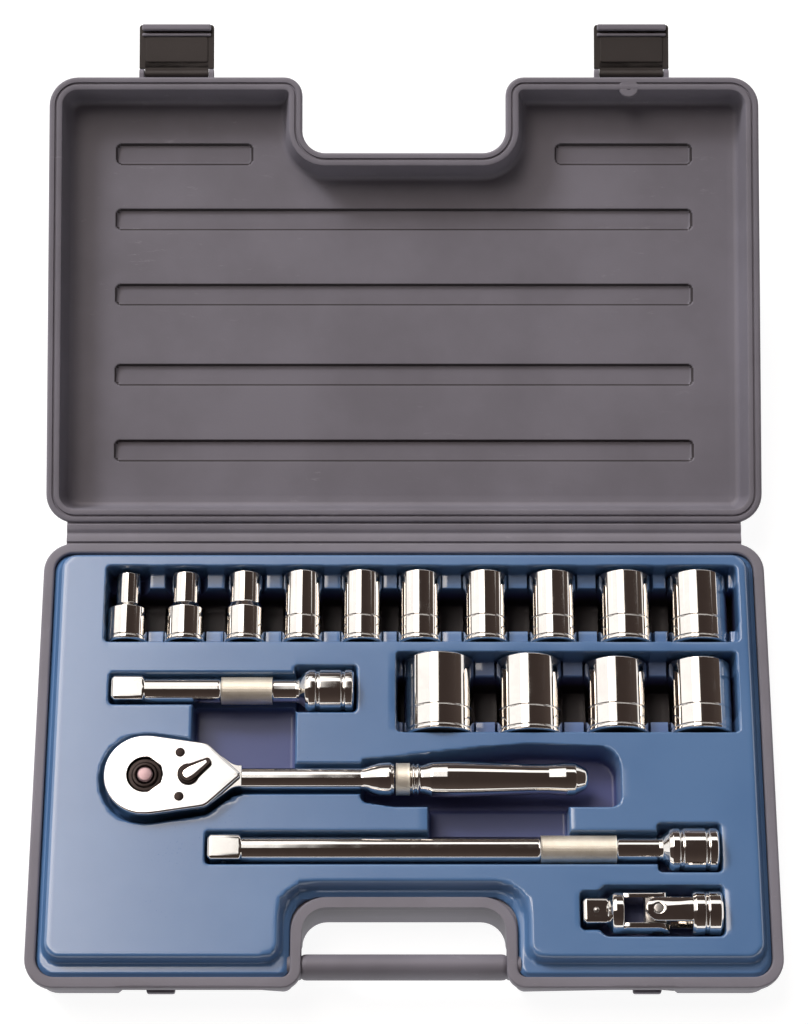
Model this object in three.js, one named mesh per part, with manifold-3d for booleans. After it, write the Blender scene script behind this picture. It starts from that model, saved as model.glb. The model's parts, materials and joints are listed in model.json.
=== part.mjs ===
// A half-inch-drive socket wrench set in a moulded case: lid open, tools seated in their tray.
// Millimetres, +X to the right, +Y away from the handle, +Z up. The origin is the centre of the underside.
import * as THREE from "three";
import { mergeVertices } from "three/addons/utils/BufferGeometryUtils.js";
import Module from "manifold-3d";

const wasm = await Module();
wasm.setup();
const RAD = Math.PI / 180;

// ---- driving dimensions -------------------------------------------------------------------------
const GAP = 0.3; // clearance between pieces that touch

const CASE_LENGTH = 370;
const CASE_DEPTH = 233;
const BASE_HEIGHT = 30;
const LID_HEIGHT = 19.5;
const CORNER_RADIUS = 15;
const WALL = 2.5; // side walls and floors of both shells
const RIM_WIDTH = 5.5; // inward width of the rim, where the tray's flange starts
const DRAFT = 7; // how far the walls lean in between rim and floor
const HINGE_OFFSET = 5.5; // from the rims to the hinge line
const HINGE_WIDTH = 348;
const HINGE_WEB = 1.5; // thickness of the hinge's flanges
const LID_OPEN = 161; // degrees from closed, as it stands

const NOTCH_WIDTH = 100; // the cut-out behind the carrying handle
const NOTCH_DEPTH = 40;
const NOTCH_RADIUS = 12;
const LID_NOTCH_EXTRA = 3; // the lid's cut-out is wider by this on each side
const HANDLE_THICKNESS = 12.4;
const HANDLE_HEIGHT = 17;
const HANDLE_SETBACK = 6.1; // from the front rim to the bar

const LATCH_WIDTH = 39;
const LATCH_LENGTH = 26;
const LATCH_CENTRE = 119; // from the middle of the case
const LATCH_PLATE = 2.2;
const LATCH_LUG = 2.6;
const LATCH_STANDOFF = 2.6; // from the rim to the latch's pivot
const LATCH_DROP = 6; // from the lid's rim to the latch's pivot
const HOOK_REACH = 2.8;
const HOOK_DEPTH = 2.8;
const CATCH_WIDTH = 14;

const TRAY_SHEET = 1.2;
const PLATEAU_RISE = 5.5; // tray top above the base's rim
const FLANGE_DROP = 1; // tray flange below the base's rim
const PLATEAU_SIDE = 10.7; // from the outer edge of the base to the tray's raised top
const PLATEAU_BACK = 8.2;
const PLATEAU_FRONT = 14.5;
const PLATEAU_SLOPE = 3.8;
const FIT = 0.4; // room around a tool in its cradle

const DRIVE_SQUARE = 12.7;
const SQUARE_PLAY = 0.3;
const BALL_RADIUS = 2.1;
const BALL_PROUD = 0.7;

// One socket: nominal size, outer diameter at the drive end, diameter at the nut end, place along its row.
const ROW_BACK = {
  centre: 81,
  room: 41,
  saddle: 9,
  crest: 1,
  length: 38,
  ends: [-152, 170],
  sockets: [
    { size: 8, outer: 20.6, nose: 12.6, at: -141.2 },
    { size: 10, outer: 20.6, nose: 15, at: -111.8 },
    { size: 12, outer: 20.6, nose: 17.6, at: -81.4 },
    { size: 13, outer: 20.6, nose: 20, at: -51.8 },
    { size: 14, outer: 21, nose: 21, at: -21.6 },
    { size: 15, outer: 22, nose: 22, at: 8 },
    { size: 16, outer: 23, nose: 23, at: 41.5 },
    { size: 17, outer: 24.5, nose: 24.5, at: 76.1 },
    { size: 19, outer: 27.8, nose: 27.8, at: 113 },
    { size: 21, outer: 30.4, nose: 30.4, at: 150.4 },
  ],
};
const ROW_FRONT = {
  centre: 33.6,
  room: 42.4,
  saddle: 12,
  crest: 1,
  length: 38.4,
  ends: [-4, 168],
  sockets: [
    { size: 27, outer: 35.6, nose: 35.6, at: 17.8, extra: 2.6 },
    { size: 24, outer: 33.6, nose: 33.6, at: 63.4, extra: 2.6 },
    { size: 23, outer: 32.4, nose: 32.4, at: 107.6, extra: 0 },
    { size: 22, outer: 32, nose: 32, at: 150, extra: 0 },
  ],
};

const EXTENSION_SHORT = { name: "extension_short", start: -147.2, length: 122, y: 35.2, band: 25.8, beyond: 41 };
const EXTENSION_LONG = { name: "extension_long", start: -96.8, length: 251.6, y: -47.7, band: 37.5, beyond: 50 };
const SHANK_DIAMETER = 12.6;
const BAND_DIAMETER = 14;
const SOCKET_END_DIAMETER = 21.6;
const SOCKET_END_LENGTH = 24;
const SQUARE_LENGTH = 17;
const EXTENSION_SINK = 4; // axis below the tray's top

const JOINT_START = 87.3;
const JOINT_LENGTH = 68;
const JOINT_Y = -79.6;
const JOINT_SINK = 5;
const YOKE_DIAMETER = 21;
const YOKE_CLEAR = 17; // from the pivot to each yoke's web
const YOKE_SLOT = 12.6;
const CROSS_SIZE = 12;
const CROSS_PIN = 5;

const RATCHET_X = -128.2; // drive axis
const RATCHET_Y = -12.2;
const RATCHET_LENGTH = 240;
const RATCHET_SINK = 1.5; // shank axis below the tray's top
const HEAD_RADIUS = 20.4;
const HEAD_THICKNESS = 13.7; // without the cover plate
const HEAD_REACH = 44; // from the drive axis to the shank
const PLATE = 2;
const SHANK = 11.2;
const GEAR_RADIUS = 11.6;
const JOURNAL_RADIUS = DRIVE_SQUARE * Math.SQRT1_2 + 0.22; // just clear of the drive square's corners
const GEAR_TEETH = 24;
const GEAR_HEIGHT = 8;
const BUTTON_RADIUS = 3.9;
const BUTTON_TRAVEL = 2;
const ANVIL_LENGTH = 11.5;
const LEVER_OFFSET = 21.5; // from the drive axis to the lever's pivot
const LEVER_LENGTH = 11.3;
const LEVER_ANGLE = 33;
const SCREW_OFFSET = [17.2, 11.4];
const SCREW_RADIUS = 2.4;
const GRIP_START = 123.6; // from the drive axis to the grip's collar
const GRIP_RADIUS = 8.8;

// ---- places worked out from them ----------------------------------------------------------------
const HALF_LENGTH = CASE_LENGTH / 2;
const HALF_DEPTH = CASE_DEPTH / 2;
const RIM = BASE_HEIGHT;
const TOP = RIM + PLATEAU_RISE;
const FLANGE = RIM - FLANGE_DROP;
const LEDGE = FLANGE - TRAY_SHEET - GAP;
const FLOOR = WALL - 0.5;
const HINGE_Y = HALF_DEPTH + HINGE_OFFSET;
const LID_DEPTH = LID_HEIGHT - WALL;
const LID_FRONT = HINGE_Y + HINGE_OFFSET + CASE_DEPTH; // the lid's far edge, lying flat open
const RIM_LIP = 5; // height of the rim band on the outside
const LID_RIM = RIM - GAP; // the lid's rim as it lies flat open; shut, it meets the base's rim with this gap
const HEAD_TOP = TOP - RATCHET_SINK + HEAD_THICKNESS / 2 + PLATE / 2 + GAP;

// ---- shape tools --------------------------------------------------------------------------------

/** A closed manifold solid from any three.js geometry. */
function solid(geometry) {
  const bare = (geometry.index ? geometry.toNonIndexed() : geometry.clone());
  bare.deleteAttribute("normal");
  bare.deleteAttribute("uv");
  const merged = mergeVertices(bare, 1e-4);
  const kept = [];
  const index = merged.index.array;
  for (let i = 0; i < index.length; i += 3) {
    const [a, b, c] = [index[i], index[i + 1], index[i + 2]];
    if (a !== b && b !== c && a !== c) kept.push(a, b, c);
  }
  const mesh = new wasm.Mesh({
    numProp: 3,
    vertProperties: merged.attributes.position.array,
    triVerts: new Uint32Array(kept),
  });
  return new wasm.Manifold(mesh);
}

/** The three.js geometry of a manifold solid. */
function geometryOf(shape) {
  const mesh = shape.getMesh();
  const points = new Float32Array(mesh.numVert * 3);
  for (let i = 0; i < mesh.numVert; i++) {
    points.set(mesh.vertProperties.subarray(i * mesh.numProp, i * mesh.numProp + 3), i * 3);
  }
  const geometry = new THREE.BufferGeometry();
  geometry.setAttribute("position", new THREE.BufferAttribute(points, 3));
  geometry.setIndex(new THREE.BufferAttribute(new Uint32Array(mesh.triVerts), 1));
  geometry.computeVertexNormals();
  return geometry;
}

/** All shapes joined into one. */
function join(...shapes) {
  return shapes.flat().reduce((sum, shape) => sum.add(shape));
}

/** The first shape less all the others. */
function cut(shape, ...others) {
  return others.flat().reduce((rest, other) => rest.subtract(other), shape);
}

/** An upright box between two corners. */
function block(x0, x1, y0, y1, z0, z1) {
  const geometry = new THREE.BoxGeometry(x1 - x0, y1 - y0, z1 - z0);
  geometry.translate((x0 + x1) / 2, (y0 + y1) / 2, (z0 + z1) / 2);
  return solid(geometry);
}

/** Turns a geometry made along +Y to lie along +X, +Y or +Z. */
function along(geometry, axis) {
  if (axis === "x") geometry.rotateZ(-90 * RAD);
  if (axis === "z") geometry.rotateX(90 * RAD);
  return geometry;
}

/** A cylinder whose middle is at a point. */
function rod(radius, length, axis, [x, y, z], sides = 16) {
  const geometry = along(new THREE.CylinderGeometry(radius, radius, length, sides), axis);
  geometry.translate(x, y, z);
  return solid(geometry);
}

/** A ball at a point. */
function ball(radius, [x, y, z]) {
  const geometry = new THREE.SphereGeometry(radius, 10, 6);
  geometry.translate(x, y, z);
  return solid(geometry);
}

/** A solid turned about an axis through a point; the profile is [radius, distance] pairs. */
function turned(profile, axis, [x, y, z], sides = 16) {
  const first = profile[0];
  const last = profile[profile.length - 1];
  const closed = [[0, first[1]], ...profile, [0, last[1]]];
  const points = closed.map(([radius, distance]) => new THREE.Vector2(radius, distance));
  const geometry = along(new THREE.LatheGeometry(points, sides), axis);
  geometry.translate(x, y, z);
  return solid(geometry);
}

/**
 * A counter-clockwise outline with rounded corners, moved inwards by an inset.
 * Each corner is [x, y, radius]; it keeps its number of points whatever the inset.
 */
function outline(corners, inset = 0, steps = 4) {
  const points = [];
  const count = corners.length;
  corners.forEach(([x, y, radius], i) => {
    const [px, py] = corners[(i + count - 1) % count];
    const [nx, ny] = corners[(i + 1) % count];
    const before = new THREE.Vector2(x - px, y - py).normalize();
    const after = new THREE.Vector2(nx - x, ny - y).normalize();
    const outBefore = new THREE.Vector2(before.y, -before.x);
    const outAfter = new THREE.Vector2(after.y, -after.x);
    const spread = 1 + outBefore.dot(outAfter);
    const cx = x - (inset * (outBefore.x + outAfter.x)) / spread;
    const cy = y - (inset * (outBefore.y + outAfter.y)) / spread;
    const turn = Math.sign(before.cross(after));
    const kept = Math.max(radius - turn * inset, 0.15);
    const half = Math.acos(Math.min(1, before.dot(after))) / 2;
    const reach = kept * Math.tan(half);
    const startX = cx - before.x * reach;
    const startY = cy - before.y * reach;
    const midX = startX - turn * outBefore.x * kept;
    const midY = startY - turn * outBefore.y * kept;
    const from = Math.atan2(startY - midY, startX - midX);
    for (let k = 0; k <= steps; k++) {
      const angle = from + turn * 2 * half * (k / steps);
      points.push(new THREE.Vector2(midX + kept * Math.cos(angle), midY + kept * Math.sin(angle)));
    }
  });
  return points;
}

/** A solid through the same outline at several heights; each level is [height, inset]. */
function loft(corners, levels, steps = 4) {
  const rings = levels.map(([, inset]) => outline(corners, inset, steps));
  const count = rings[0].length;
  const positions = [];
  const index = [];
  rings.forEach((ring, level) => ring.forEach((p) => positions.push(p.x, p.y, levels[level][0])));
  for (let level = 0; level + 1 < levels.length; level++) {
    for (let i = 0; i < count; i++) {
      const a = level * count + i;
      const b = level * count + ((i + 1) % count);
      index.push(a, b, b + count, a, b + count, a + count);
    }
  }
  const top = (levels.length - 1) * count;
  THREE.ShapeUtils.triangulateShape(rings[0], []).forEach(([a, b, c]) => index.push(a, c, b));
  THREE.ShapeUtils.triangulateShape(rings[levels.length - 1], []).forEach(([a, b, c]) =>
    index.push(top + a, top + b, top + c),
  );
  const geometry = new THREE.BufferGeometry();
  geometry.setAttribute("position", new THREE.Float32BufferAttribute(positions, 3));
  geometry.setIndex(index);
  return solid(geometry);
}

/** An upright prism over rounded corners. */
function prism(corners, z0, z1, inset = 0, steps = 4) {
  return loft(corners, [[z0, inset], [z1, inset]], steps);
}

/** The four corners of a rectangle, all with one radius. */
function rectangle(x0, x1, y0, y1, radius) {
  return [[x0, y0, radius], [x1, y0, radius], [x1, y1, radius], [x0, y1, radius]];
}

/** A rectangle with a cut-out in the middle of its front side, as the case and the tray have. */
function notched(x, front, back, radius, notchHalf, notchBack, inner, outer) {
  return [
    [-x, front, radius],
    [-notchHalf, front, outer],
    [-notchHalf, notchBack, inner],
    [notchHalf, notchBack, inner],
    [notchHalf, front, outer],
    [x, front, radius],
    [x, back, radius],
    [-x, back, radius],
  ];
}

// ---- materials ----------------------------------------------------------------------------------
const paint = {
  shell: new THREE.MeshStandardMaterial({ color: 0x6b6669, roughness: 0.55, metalness: 0 }),
  latch: new THREE.MeshStandardMaterial({ color: 0x3c3836, roughness: 0.5, metalness: 0 }),
  tray: new THREE.MeshStandardMaterial({ color: 0x4f7cae, roughness: 0.4, metalness: 0 }),
  chrome: new THREE.MeshStandardMaterial({ color: 0xd8d6d4, roughness: 0.12, metalness: 1 }),
  steel: new THREE.MeshStandardMaterial({ color: 0x8c8a88, roughness: 0.35, metalness: 1 }),
  button: new THREE.MeshStandardMaterial({ color: 0xd9bfc0, roughness: 0.3, metalness: 0.8 }),
};

const set = new THREE.Group();

/** Adds one named piece to the set. */
function piece(name, shape, material, parent = set) {
  const mesh = new THREE.Mesh(geometryOf(shape), material);
  mesh.name = name;
  parent.add(mesh);
  return mesh;
}

// ---- the case -----------------------------------------------------------------------------------

/** The rim's outline seen from above, with the handle's cut-out in front. */
function rimCorners(notchHalf) {
  const notchBack = -HALF_DEPTH + NOTCH_DEPTH;
  return notched(HALF_LENGTH, -HALF_DEPTH, HALF_DEPTH, CORNER_RADIUS,
    notchHalf, notchBack, NOTCH_RADIUS, NOTCH_RADIUS * 0.8);
}

/** Outside of a shell from its floor at height 0 to its rim, with drafted walls and a proud rim band. */
function shellLevels(height) {
  const band = height - RIM_LIP;
  return [
    [0, DRAFT + 4.5],
    [1.6, DRAFT + 1.6],
    [6, DRAFT],
    [band - 1.5, 2.6],
    [band, 0],
    [height - 0.7, 0],
    [height, 0.7],
  ];
}

/** How far the outside of a shell stands in from the rim at a height below the rim band. */
function leanAt(z, height) {
  const band = height - RIM_LIP - 1.5;
  return DRAFT - ((DRAFT - 2.6) * (z - 6)) / (band - 6);
}

/** The bar of the handle, an oval that bridges the cut-out. */
function handleBar() {
  const geometry = new THREE.CylinderGeometry(0.5, 0.5, NOTCH_WIDTH + 2 * DRAFT, 20);
  geometry.rotateZ(90 * RAD);
  geometry.scale(1, HANDLE_THICKNESS, HANDLE_HEIGHT);
  geometry.translate(0, -HALF_DEPTH + HANDLE_SETBACK + HANDLE_THICKNESS / 2, RIM - 0.5 - HANDLE_HEIGHT / 2);
  return solid(geometry);
}

/** Height of the underside of a latch's catch, above the base's underside. */
function catchHeight() {
  return RIM + LATCH_DROP - LATCH_LENGTH + HOOK_DEPTH + GAP;
}

/** The base: drafted tub, rim, ledge for the tray, handle, latch recesses and catches, hinge flange. */
function baseShell() {
  const corners = rimCorners(NOTCH_WIDTH / 2);
  const inner = [
    [FLOOR, DRAFT + WALL + 3],
    [6, DRAFT + WALL],
    [LEDGE - 5, leanAt(LEDGE - 5, RIM) + WALL],
    [LEDGE - 2.5, RIM_WIDTH + 3.5],
    [LEDGE, RIM_WIDTH + 3.5],
    [LEDGE + 0.02, RIM_WIDTH],
    [RIM + 1, RIM_WIDTH],
  ];
  const recess = (side) =>
    block(side * LATCH_CENTRE - LATCH_WIDTH / 2 - 5, side * LATCH_CENTRE + LATCH_WIDTH / 2 + 5,
      -HALF_DEPTH - 1, -HALF_DEPTH + 2.4, -1, RIM - RIM_LIP + 1);
  const keeper = (side) =>
    block(side * LATCH_CENTRE - CATCH_WIDTH / 2, side * LATCH_CENTRE + CATCH_WIDTH / 2,
      -HALF_DEPTH - 0.1, -HALF_DEPTH + 6, catchHeight(), catchHeight() + 3.4);
  const flange = block(-HINGE_WIDTH / 2, HINGE_WIDTH / 2, HALF_DEPTH - 2, HINGE_Y - GAP,
    RIM - GAP - HINGE_WEB, RIM - GAP);
  const tub = join(loft(corners, shellLevels(RIM)), flange);
  const open = cut(tub, loft(corners, inner), [-1, 1].map(recess));
  const keepers = [-1, 1].map(keeper);
  return join(open, keepers, cut(handleBar(), loft(corners, inner)));
}

/** Corners drawn on the base, swung over the hinge line to where the lid lies flat open. */
function acrossHinge(corners) {
  return corners.map(([x, y, r]) => [-x, 2 * HINGE_Y - y, r]);
}

/** Levels measured from the lid's roof, as heights of the lid lying flat open. */
function fromRoof(levels) {
  return levels.map(([z, inset]) => [z + LID_RIM - LID_HEIGHT, inset]);
}

/** A shallow oblong groove pressed into the lid's floor, at a distance from the hinge line. */
function lidGroove(x0, x1, distance) {
  const half = 5.6;
  const y = HINGE_Y + distance;
  const floor = LID_RIM - LID_DEPTH;
  return prism(rectangle(x0, x1, y - half, y + half, 3.4), floor - 1.1, floor + 2, 0, 2);
}

/** The two ears that carry a latch's trunnions. */
function latchLugs(side) {
  const y = LID_FRONT + LATCH_STANDOFF;
  const z = RIM - LATCH_DROP;
  return [-1, 1].map((end) => {
    const outer = side * LATCH_CENTRE + (end * LATCH_WIDTH) / 2;
    const middle = outer - (end * LATCH_LUG) / 2;
    const ear = join(
      rod(LATCH_STANDOFF, LATCH_LUG, "x", [middle, y, z], 16),
      block(middle - LATCH_LUG / 2, middle + LATCH_LUG / 2, LID_FRONT - WALL, y,
        z - LATCH_STANDOFF, z + LATCH_STANDOFF),
    );
    return cut(ear, rod(1.5, LATCH_LUG + 2, "x", [middle, y, z], 12));
  });
}

/** The lid as it would lie flat open: roof down, rim up, its front edge away from the hinge. */
function lidShell() {
  const corners = acrossHinge(rimCorners(NOTCH_WIDTH / 2 + LID_NOTCH_EXTRA));
  const inner = [
    [WALL, DRAFT + WALL + 5],
    [WALL + 2.5, DRAFT + WALL + 1.4],
    [LID_HEIGHT - 4, RIM_WIDTH + 0.6],
    [LID_HEIGHT + 1, RIM_WIDTH],
  ];
  const side = HALF_LENGTH - 33.5;
  const short = HALF_LENGTH - 105.5;
  const grooves = [
    lidGroove(-side, -short, 201),
    lidGroove(short, side, 201),
    ...[166.3, 126.5, 84.2, 44.3].map((distance) => lidGroove(-side, side, distance)),
  ];
  const flange = block(-HINGE_WIDTH / 2, HINGE_WIDTH / 2, HINGE_Y + GAP, HINGE_Y + HINGE_OFFSET + 2,
    RIM - GAP - HINGE_WEB, RIM - GAP);
  const outside = join(loft(corners, fromRoof(shellLevels(LID_HEIGHT))), flange, latchLugs(-1), latchLugs(1));
  const bossX = LATCH_CENTRE - 1.7;
  const boss = rod(5.6, 3, "z", [bossX, LID_FRONT - 5, RIM - 1.8], 16);
  const bossHole = rod(1.3, 6, "z", [bossX, LID_FRONT - 6, RIM - 1.8], 8);
  return cut(join(cut(outside, loft(corners, fromRoof(inner)), grooves), boss), bossHole);
}

/** A latch lying straight out from the lid: flap, tongue, barrel, trunnions and hook. */
function latchFlap(side) {
  const x = side * LATCH_CENTRE;
  const y = LID_FRONT + LATCH_STANDOFF;
  const z = RIM - LATCH_DROP;
  const half = LATCH_WIDTH / 2;
  const neck = half - LATCH_LUG - GAP;
  const plate = prism(rectangle(x - half, x + half, y + LATCH_STANDOFF + GAP, y + LATCH_LENGTH, 1.5),
    z - LATCH_PLATE / 2, z + LATCH_PLATE / 2, 0, 3);
  const tongue = block(x - neck, x + neck, y, y + 6, z - LATCH_PLATE / 2, z + LATCH_PLATE / 2);
  const barrel = rod(LATCH_STANDOFF - 0.4, 2 * neck, "x", [x, y, z], 16);
  const pins = rod(1.2, LATCH_WIDTH - 1, "x", [x, y, z], 12);
  const hook = block(x - half + 1.5, x + half - 1.5, y + LATCH_LENGTH - HOOK_DEPTH, y + LATCH_LENGTH - 0.2,
    z, z + LATCH_PLATE / 2 + HOOK_REACH);
  return join(plate, tongue, barrel, pins, hook);
}

/** Tilts what was drawn lying flat open up to the angle at which the lid stands. */
function tiltWithLid(mesh) {
  const hinge = new THREE.Group();
  hinge.position.set(0, HINGE_Y, RIM);
  hinge.rotation.x = (180 - LID_OPEN) * RAD;
  mesh.position.set(0, -HINGE_Y, -RIM);
  hinge.add(mesh);
  set.add(hinge);
}

// ---- the tray -----------------------------------------------------------------------------------

/** Height of a socket's axis: the back row has level crests, the front row a level underside. */
function socketHeight(row, socket) {
  if (row === ROW_BACK) return TOP + row.crest - socket.outer / 2;
  const smallest = Math.min(...row.sockets.map((s) => s.outer));
  return TOP + row.crest - smallest + socket.outer / 2;
}

/** The recess of a row of sockets: cradles at both ends and a deep trough between them. */
function rowPocket(row) {
  const y0 = row.centre - row.room / 2;
  const y1 = row.centre + row.room / 2;
  const [x0, x1] = row.ends;
  const lowest = Math.min(...row.sockets.map((s) => socketHeight(row, s) - s.outer / 2));
  const rest = row.room * 0.22;
  const hollows = [
    { corners: rectangle(x0, x1, y0, y1, 2.5), floor: TOP - row.saddle },
    { corners: rectangle(x0, x1, y0 + rest, y1 - rest, 2), floor: lowest - FIT - 0.4 },
  ];
  const cradles = row.sockets.map((socket) => ({
    x: socket.at,
    y0,
    y1,
    radius: socket.outer / 2 + FIT,
    z: socketHeight(row, socket),
  }));
  return { hollows, cradles };
}

/** The recess of an extension: a narrow run for its shank and a wide end for its socket. */
function extensionPocket(bar) {
  const end = bar.start + bar.length;
  const z = TOP - EXTENSION_SINK;
  const wide = SOCKET_END_DIAMETER / 2;
  const narrow = BAND_DIAMETER / 2;
  const split = end - SOCKET_END_LENGTH - 6;
  return [
    { corners: rectangle(bar.start - 1.2, split + 3, bar.y - narrow - 1.4, bar.y + narrow + 1.4, 2.5),
      floor: z - Math.max(narrow, DRIVE_SQUARE / 2) - FIT },
    { corners: rectangle(split, end + 1.4, bar.y - wide - 1.6, bar.y + wide + 1.6, 3),
      floor: z - wide - FIT },
  ];
}

/** Corners of the ratchet's head about its drive axis. */
function headCorners(grow = 0) {
  const r = HEAD_RADIUS + grow;
  const neck = SHANK / 2 + grow;
  const shoulder = HEAD_REACH - 13.5;
  return [
    [-r, -r, r - 0.3],
    [3, -r, 30],
    [shoulder, -r * 0.8, 7],
    [HEAD_REACH, -neck, 8],
    [HEAD_REACH + 4, -neck, 0.3],
    [HEAD_REACH + 4, neck, 0.3],
    [HEAD_REACH, neck, 8],
    [shoulder, r * 0.8, 7],
    [3, r, 30],
    [-r, r, r - 0.3],
  ];
}

/** Moves corners drawn about the drive axis to where the ratchet lies. */
function atRatchet(corners) {
  return corners.map(([x, y, r]) => [x + RATCHET_X, y + RATCHET_Y, r]);
}

/** The recesses of the ratchet: head, drive square, shank channel, and the roomy one around its grip. */
function ratchetPocket() {
  const z = TOP - RATCHET_SINK;
  const gripFrom = RATCHET_X + GRIP_START - 17;
  const gripTo = RATCHET_X - HEAD_RADIUS + RATCHET_LENGTH + 16.5;
  const half = 14.5;
  const headFloor = z - HEAD_THICKNESS / 2 - PLATE / 2 - FIT;
  const anvil = rectangle(-11, 11, -11, 11, 10.9);
  const grip = [
    [gripFrom, RATCHET_Y - GRIP_RADIUS - 3, 4],
    [gripFrom + 17, RATCHET_Y - half, 6],
    [gripTo, RATCHET_Y - half, 6],
    [gripTo, RATCHET_Y + half + 1.5, 12],
    [gripTo - 46, RATCHET_Y + half + 3.5, 60],
    [gripFrom + 21, RATCHET_Y + GRIP_RADIUS + 2.5, 6],
    [gripFrom, RATCHET_Y + GRIP_RADIUS + 1, 4],
  ];
  return [
    { corners: atRatchet(headCorners(3)), floor: headFloor },
    { corners: atRatchet(anvil), floor: headFloor - ANVIL_LENGTH - 1 },
    { corners: rectangle(RATCHET_X + HEAD_REACH - 6, gripFrom + 5, RATCHET_Y - 8, RATCHET_Y + 8, 2),
      floor: z - SHANK / 2 - FIT },
    { corners: grip, floor: TOP - 17 },
  ];
}

/** The hollows for fingers beside the short extension and beside the ratchet's grip. */
function fingerPockets() {
  const shortX = EXTENSION_SHORT.start + 41;
  const gripX = RATCHET_X + GRIP_START + 16.5;
  return [
    { corners: rectangle(shortX, shortX + 52, RATCHET_Y + 4, EXTENSION_SHORT.y - 6, 3), floor: TOP - 16 },
    { corners: rectangle(gripX, gripX + 70, EXTENSION_LONG.y + 4, RATCHET_Y - 10, 3), floor: TOP - 16 },
  ];
}

/** The recess of the universal joint: narrow at its square end. */
function jointPocket() {
  const end = JOINT_START + JOINT_LENGTH;
  const narrow = DRIVE_SQUARE / 2 + 2.9;
  const wide = YOKE_DIAMETER / 2 + 2.2;
  const corners = [
    [JOINT_START - 1.3, JOINT_Y - narrow, 2.5],
    [JOINT_START + 8, JOINT_Y - narrow, 2],
    [JOINT_START + 8 + wide - narrow, JOINT_Y - wide, 2],
    [end + 1, JOINT_Y - wide, 3],
    [end + 1, JOINT_Y + wide, 3],
    [JOINT_START + 8 + wide - narrow, JOINT_Y + wide, 2],
    [JOINT_START + 8, JOINT_Y + narrow, 2],
    [JOINT_START - 1.3, JOINT_Y + narrow, 2.5],
  ];
  return [{ corners, floor: TOP - JOINT_SINK - YOKE_DIAMETER / 2 - FIT - 0.2 }];
}

/** The blue tray: a thin formed sheet with a raised top, a flange on the ledge and a cup for each recess. */
function tray() {
  const notchBack = -HALF_DEPTH + NOTCH_DEPTH + RIM_WIDTH + GAP;
  const x = HALF_LENGTH - RIM_WIDTH - GAP;
  const flange = notched(x, -HALF_DEPTH + RIM_WIDTH + GAP, HALF_DEPTH - RIM_WIDTH - GAP,
    CORNER_RADIUS - RIM_WIDTH, NOTCH_WIDTH / 2 + RIM_WIDTH + GAP, notchBack, 14, 5);
  const plateau = notched(HALF_LENGTH - PLATEAU_SIDE, -HALF_DEPTH + PLATEAU_FRONT,
    HALF_DEPTH - PLATEAU_BACK - 1, 7, NOTCH_WIDTH / 2 + 11.8, -HALF_DEPTH + NOTCH_DEPTH + 11.8, 17, 7);
  const low = FLANGE - TRAY_SHEET;
  const slope = -PLATEAU_SLOPE;
  const dome = loft(plateau, [[low, slope + 1.2], [FLANGE, slope + 1.2], [TOP - 0.6, -0.2], [TOP, 0.5]]);
  const under = loft(plateau, [[low - 1, slope + 2.6], [FLANGE, slope + 2.6], [TOP - TRAY_SHEET, 1.2]]);
  const rows = [ROW_BACK, ROW_FRONT].map(rowPocket);
  const pockets = [
    ...rows.flatMap((row) => row.hollows),
    ...extensionPocket(EXTENSION_SHORT),
    ...extensionPocket(EXTENSION_LONG),
    ...ratchetPocket(),
    ...fingerPockets(),
    ...jointPocket(),
  ];
  const cups = pockets.map(({ corners, floor }) =>
    prism(corners, floor - TRAY_SHEET, TOP - TRAY_SHEET / 2, -TRAY_SHEET, 2));
  const hollows = pockets.map(({ corners, floor }) => prism(corners, floor, TOP + 5, 0, 2));
  const cradles = rows.flatMap((row) => row.cradles);
  const cradleCups = cradles.map(({ x: cx, y0, y1, radius, z }) =>
    join(
      rod(radius + TRAY_SHEET, y1 - y0 + 2 * TRAY_SHEET, "y", [cx, (y0 + y1) / 2, z], 16),
      block(cx - radius - TRAY_SHEET, cx + radius + TRAY_SHEET, y0 - TRAY_SHEET, y1 + TRAY_SHEET,
        z, TOP - TRAY_SHEET / 2),
    ),
  );
  const cradleHollows = cradles.map(({ x: cx, y0, y1, radius, z }) =>
    join(
      rod(radius, y1 - y0, "y", [cx, (y0 + y1) / 2, z], 16),
      block(cx - radius, cx + radius, y0, y1, z, TOP + 5),
    ),
  );
  const sheet = cut(join(prism(flange, low, FLANGE), dome), under);
  const trimmed = cradleCups.map((cup) =>
    cup.subtract(block(-HALF_LENGTH, HALF_LENGTH, -HALF_DEPTH, HALF_DEPTH, TOP - 0.1, TOP + 60)));
  return cut(join(sheet, cups, trimmed), hollows, cradleHollows);
}

// ---- sockets ------------------------------------------------------------------------------------

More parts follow.
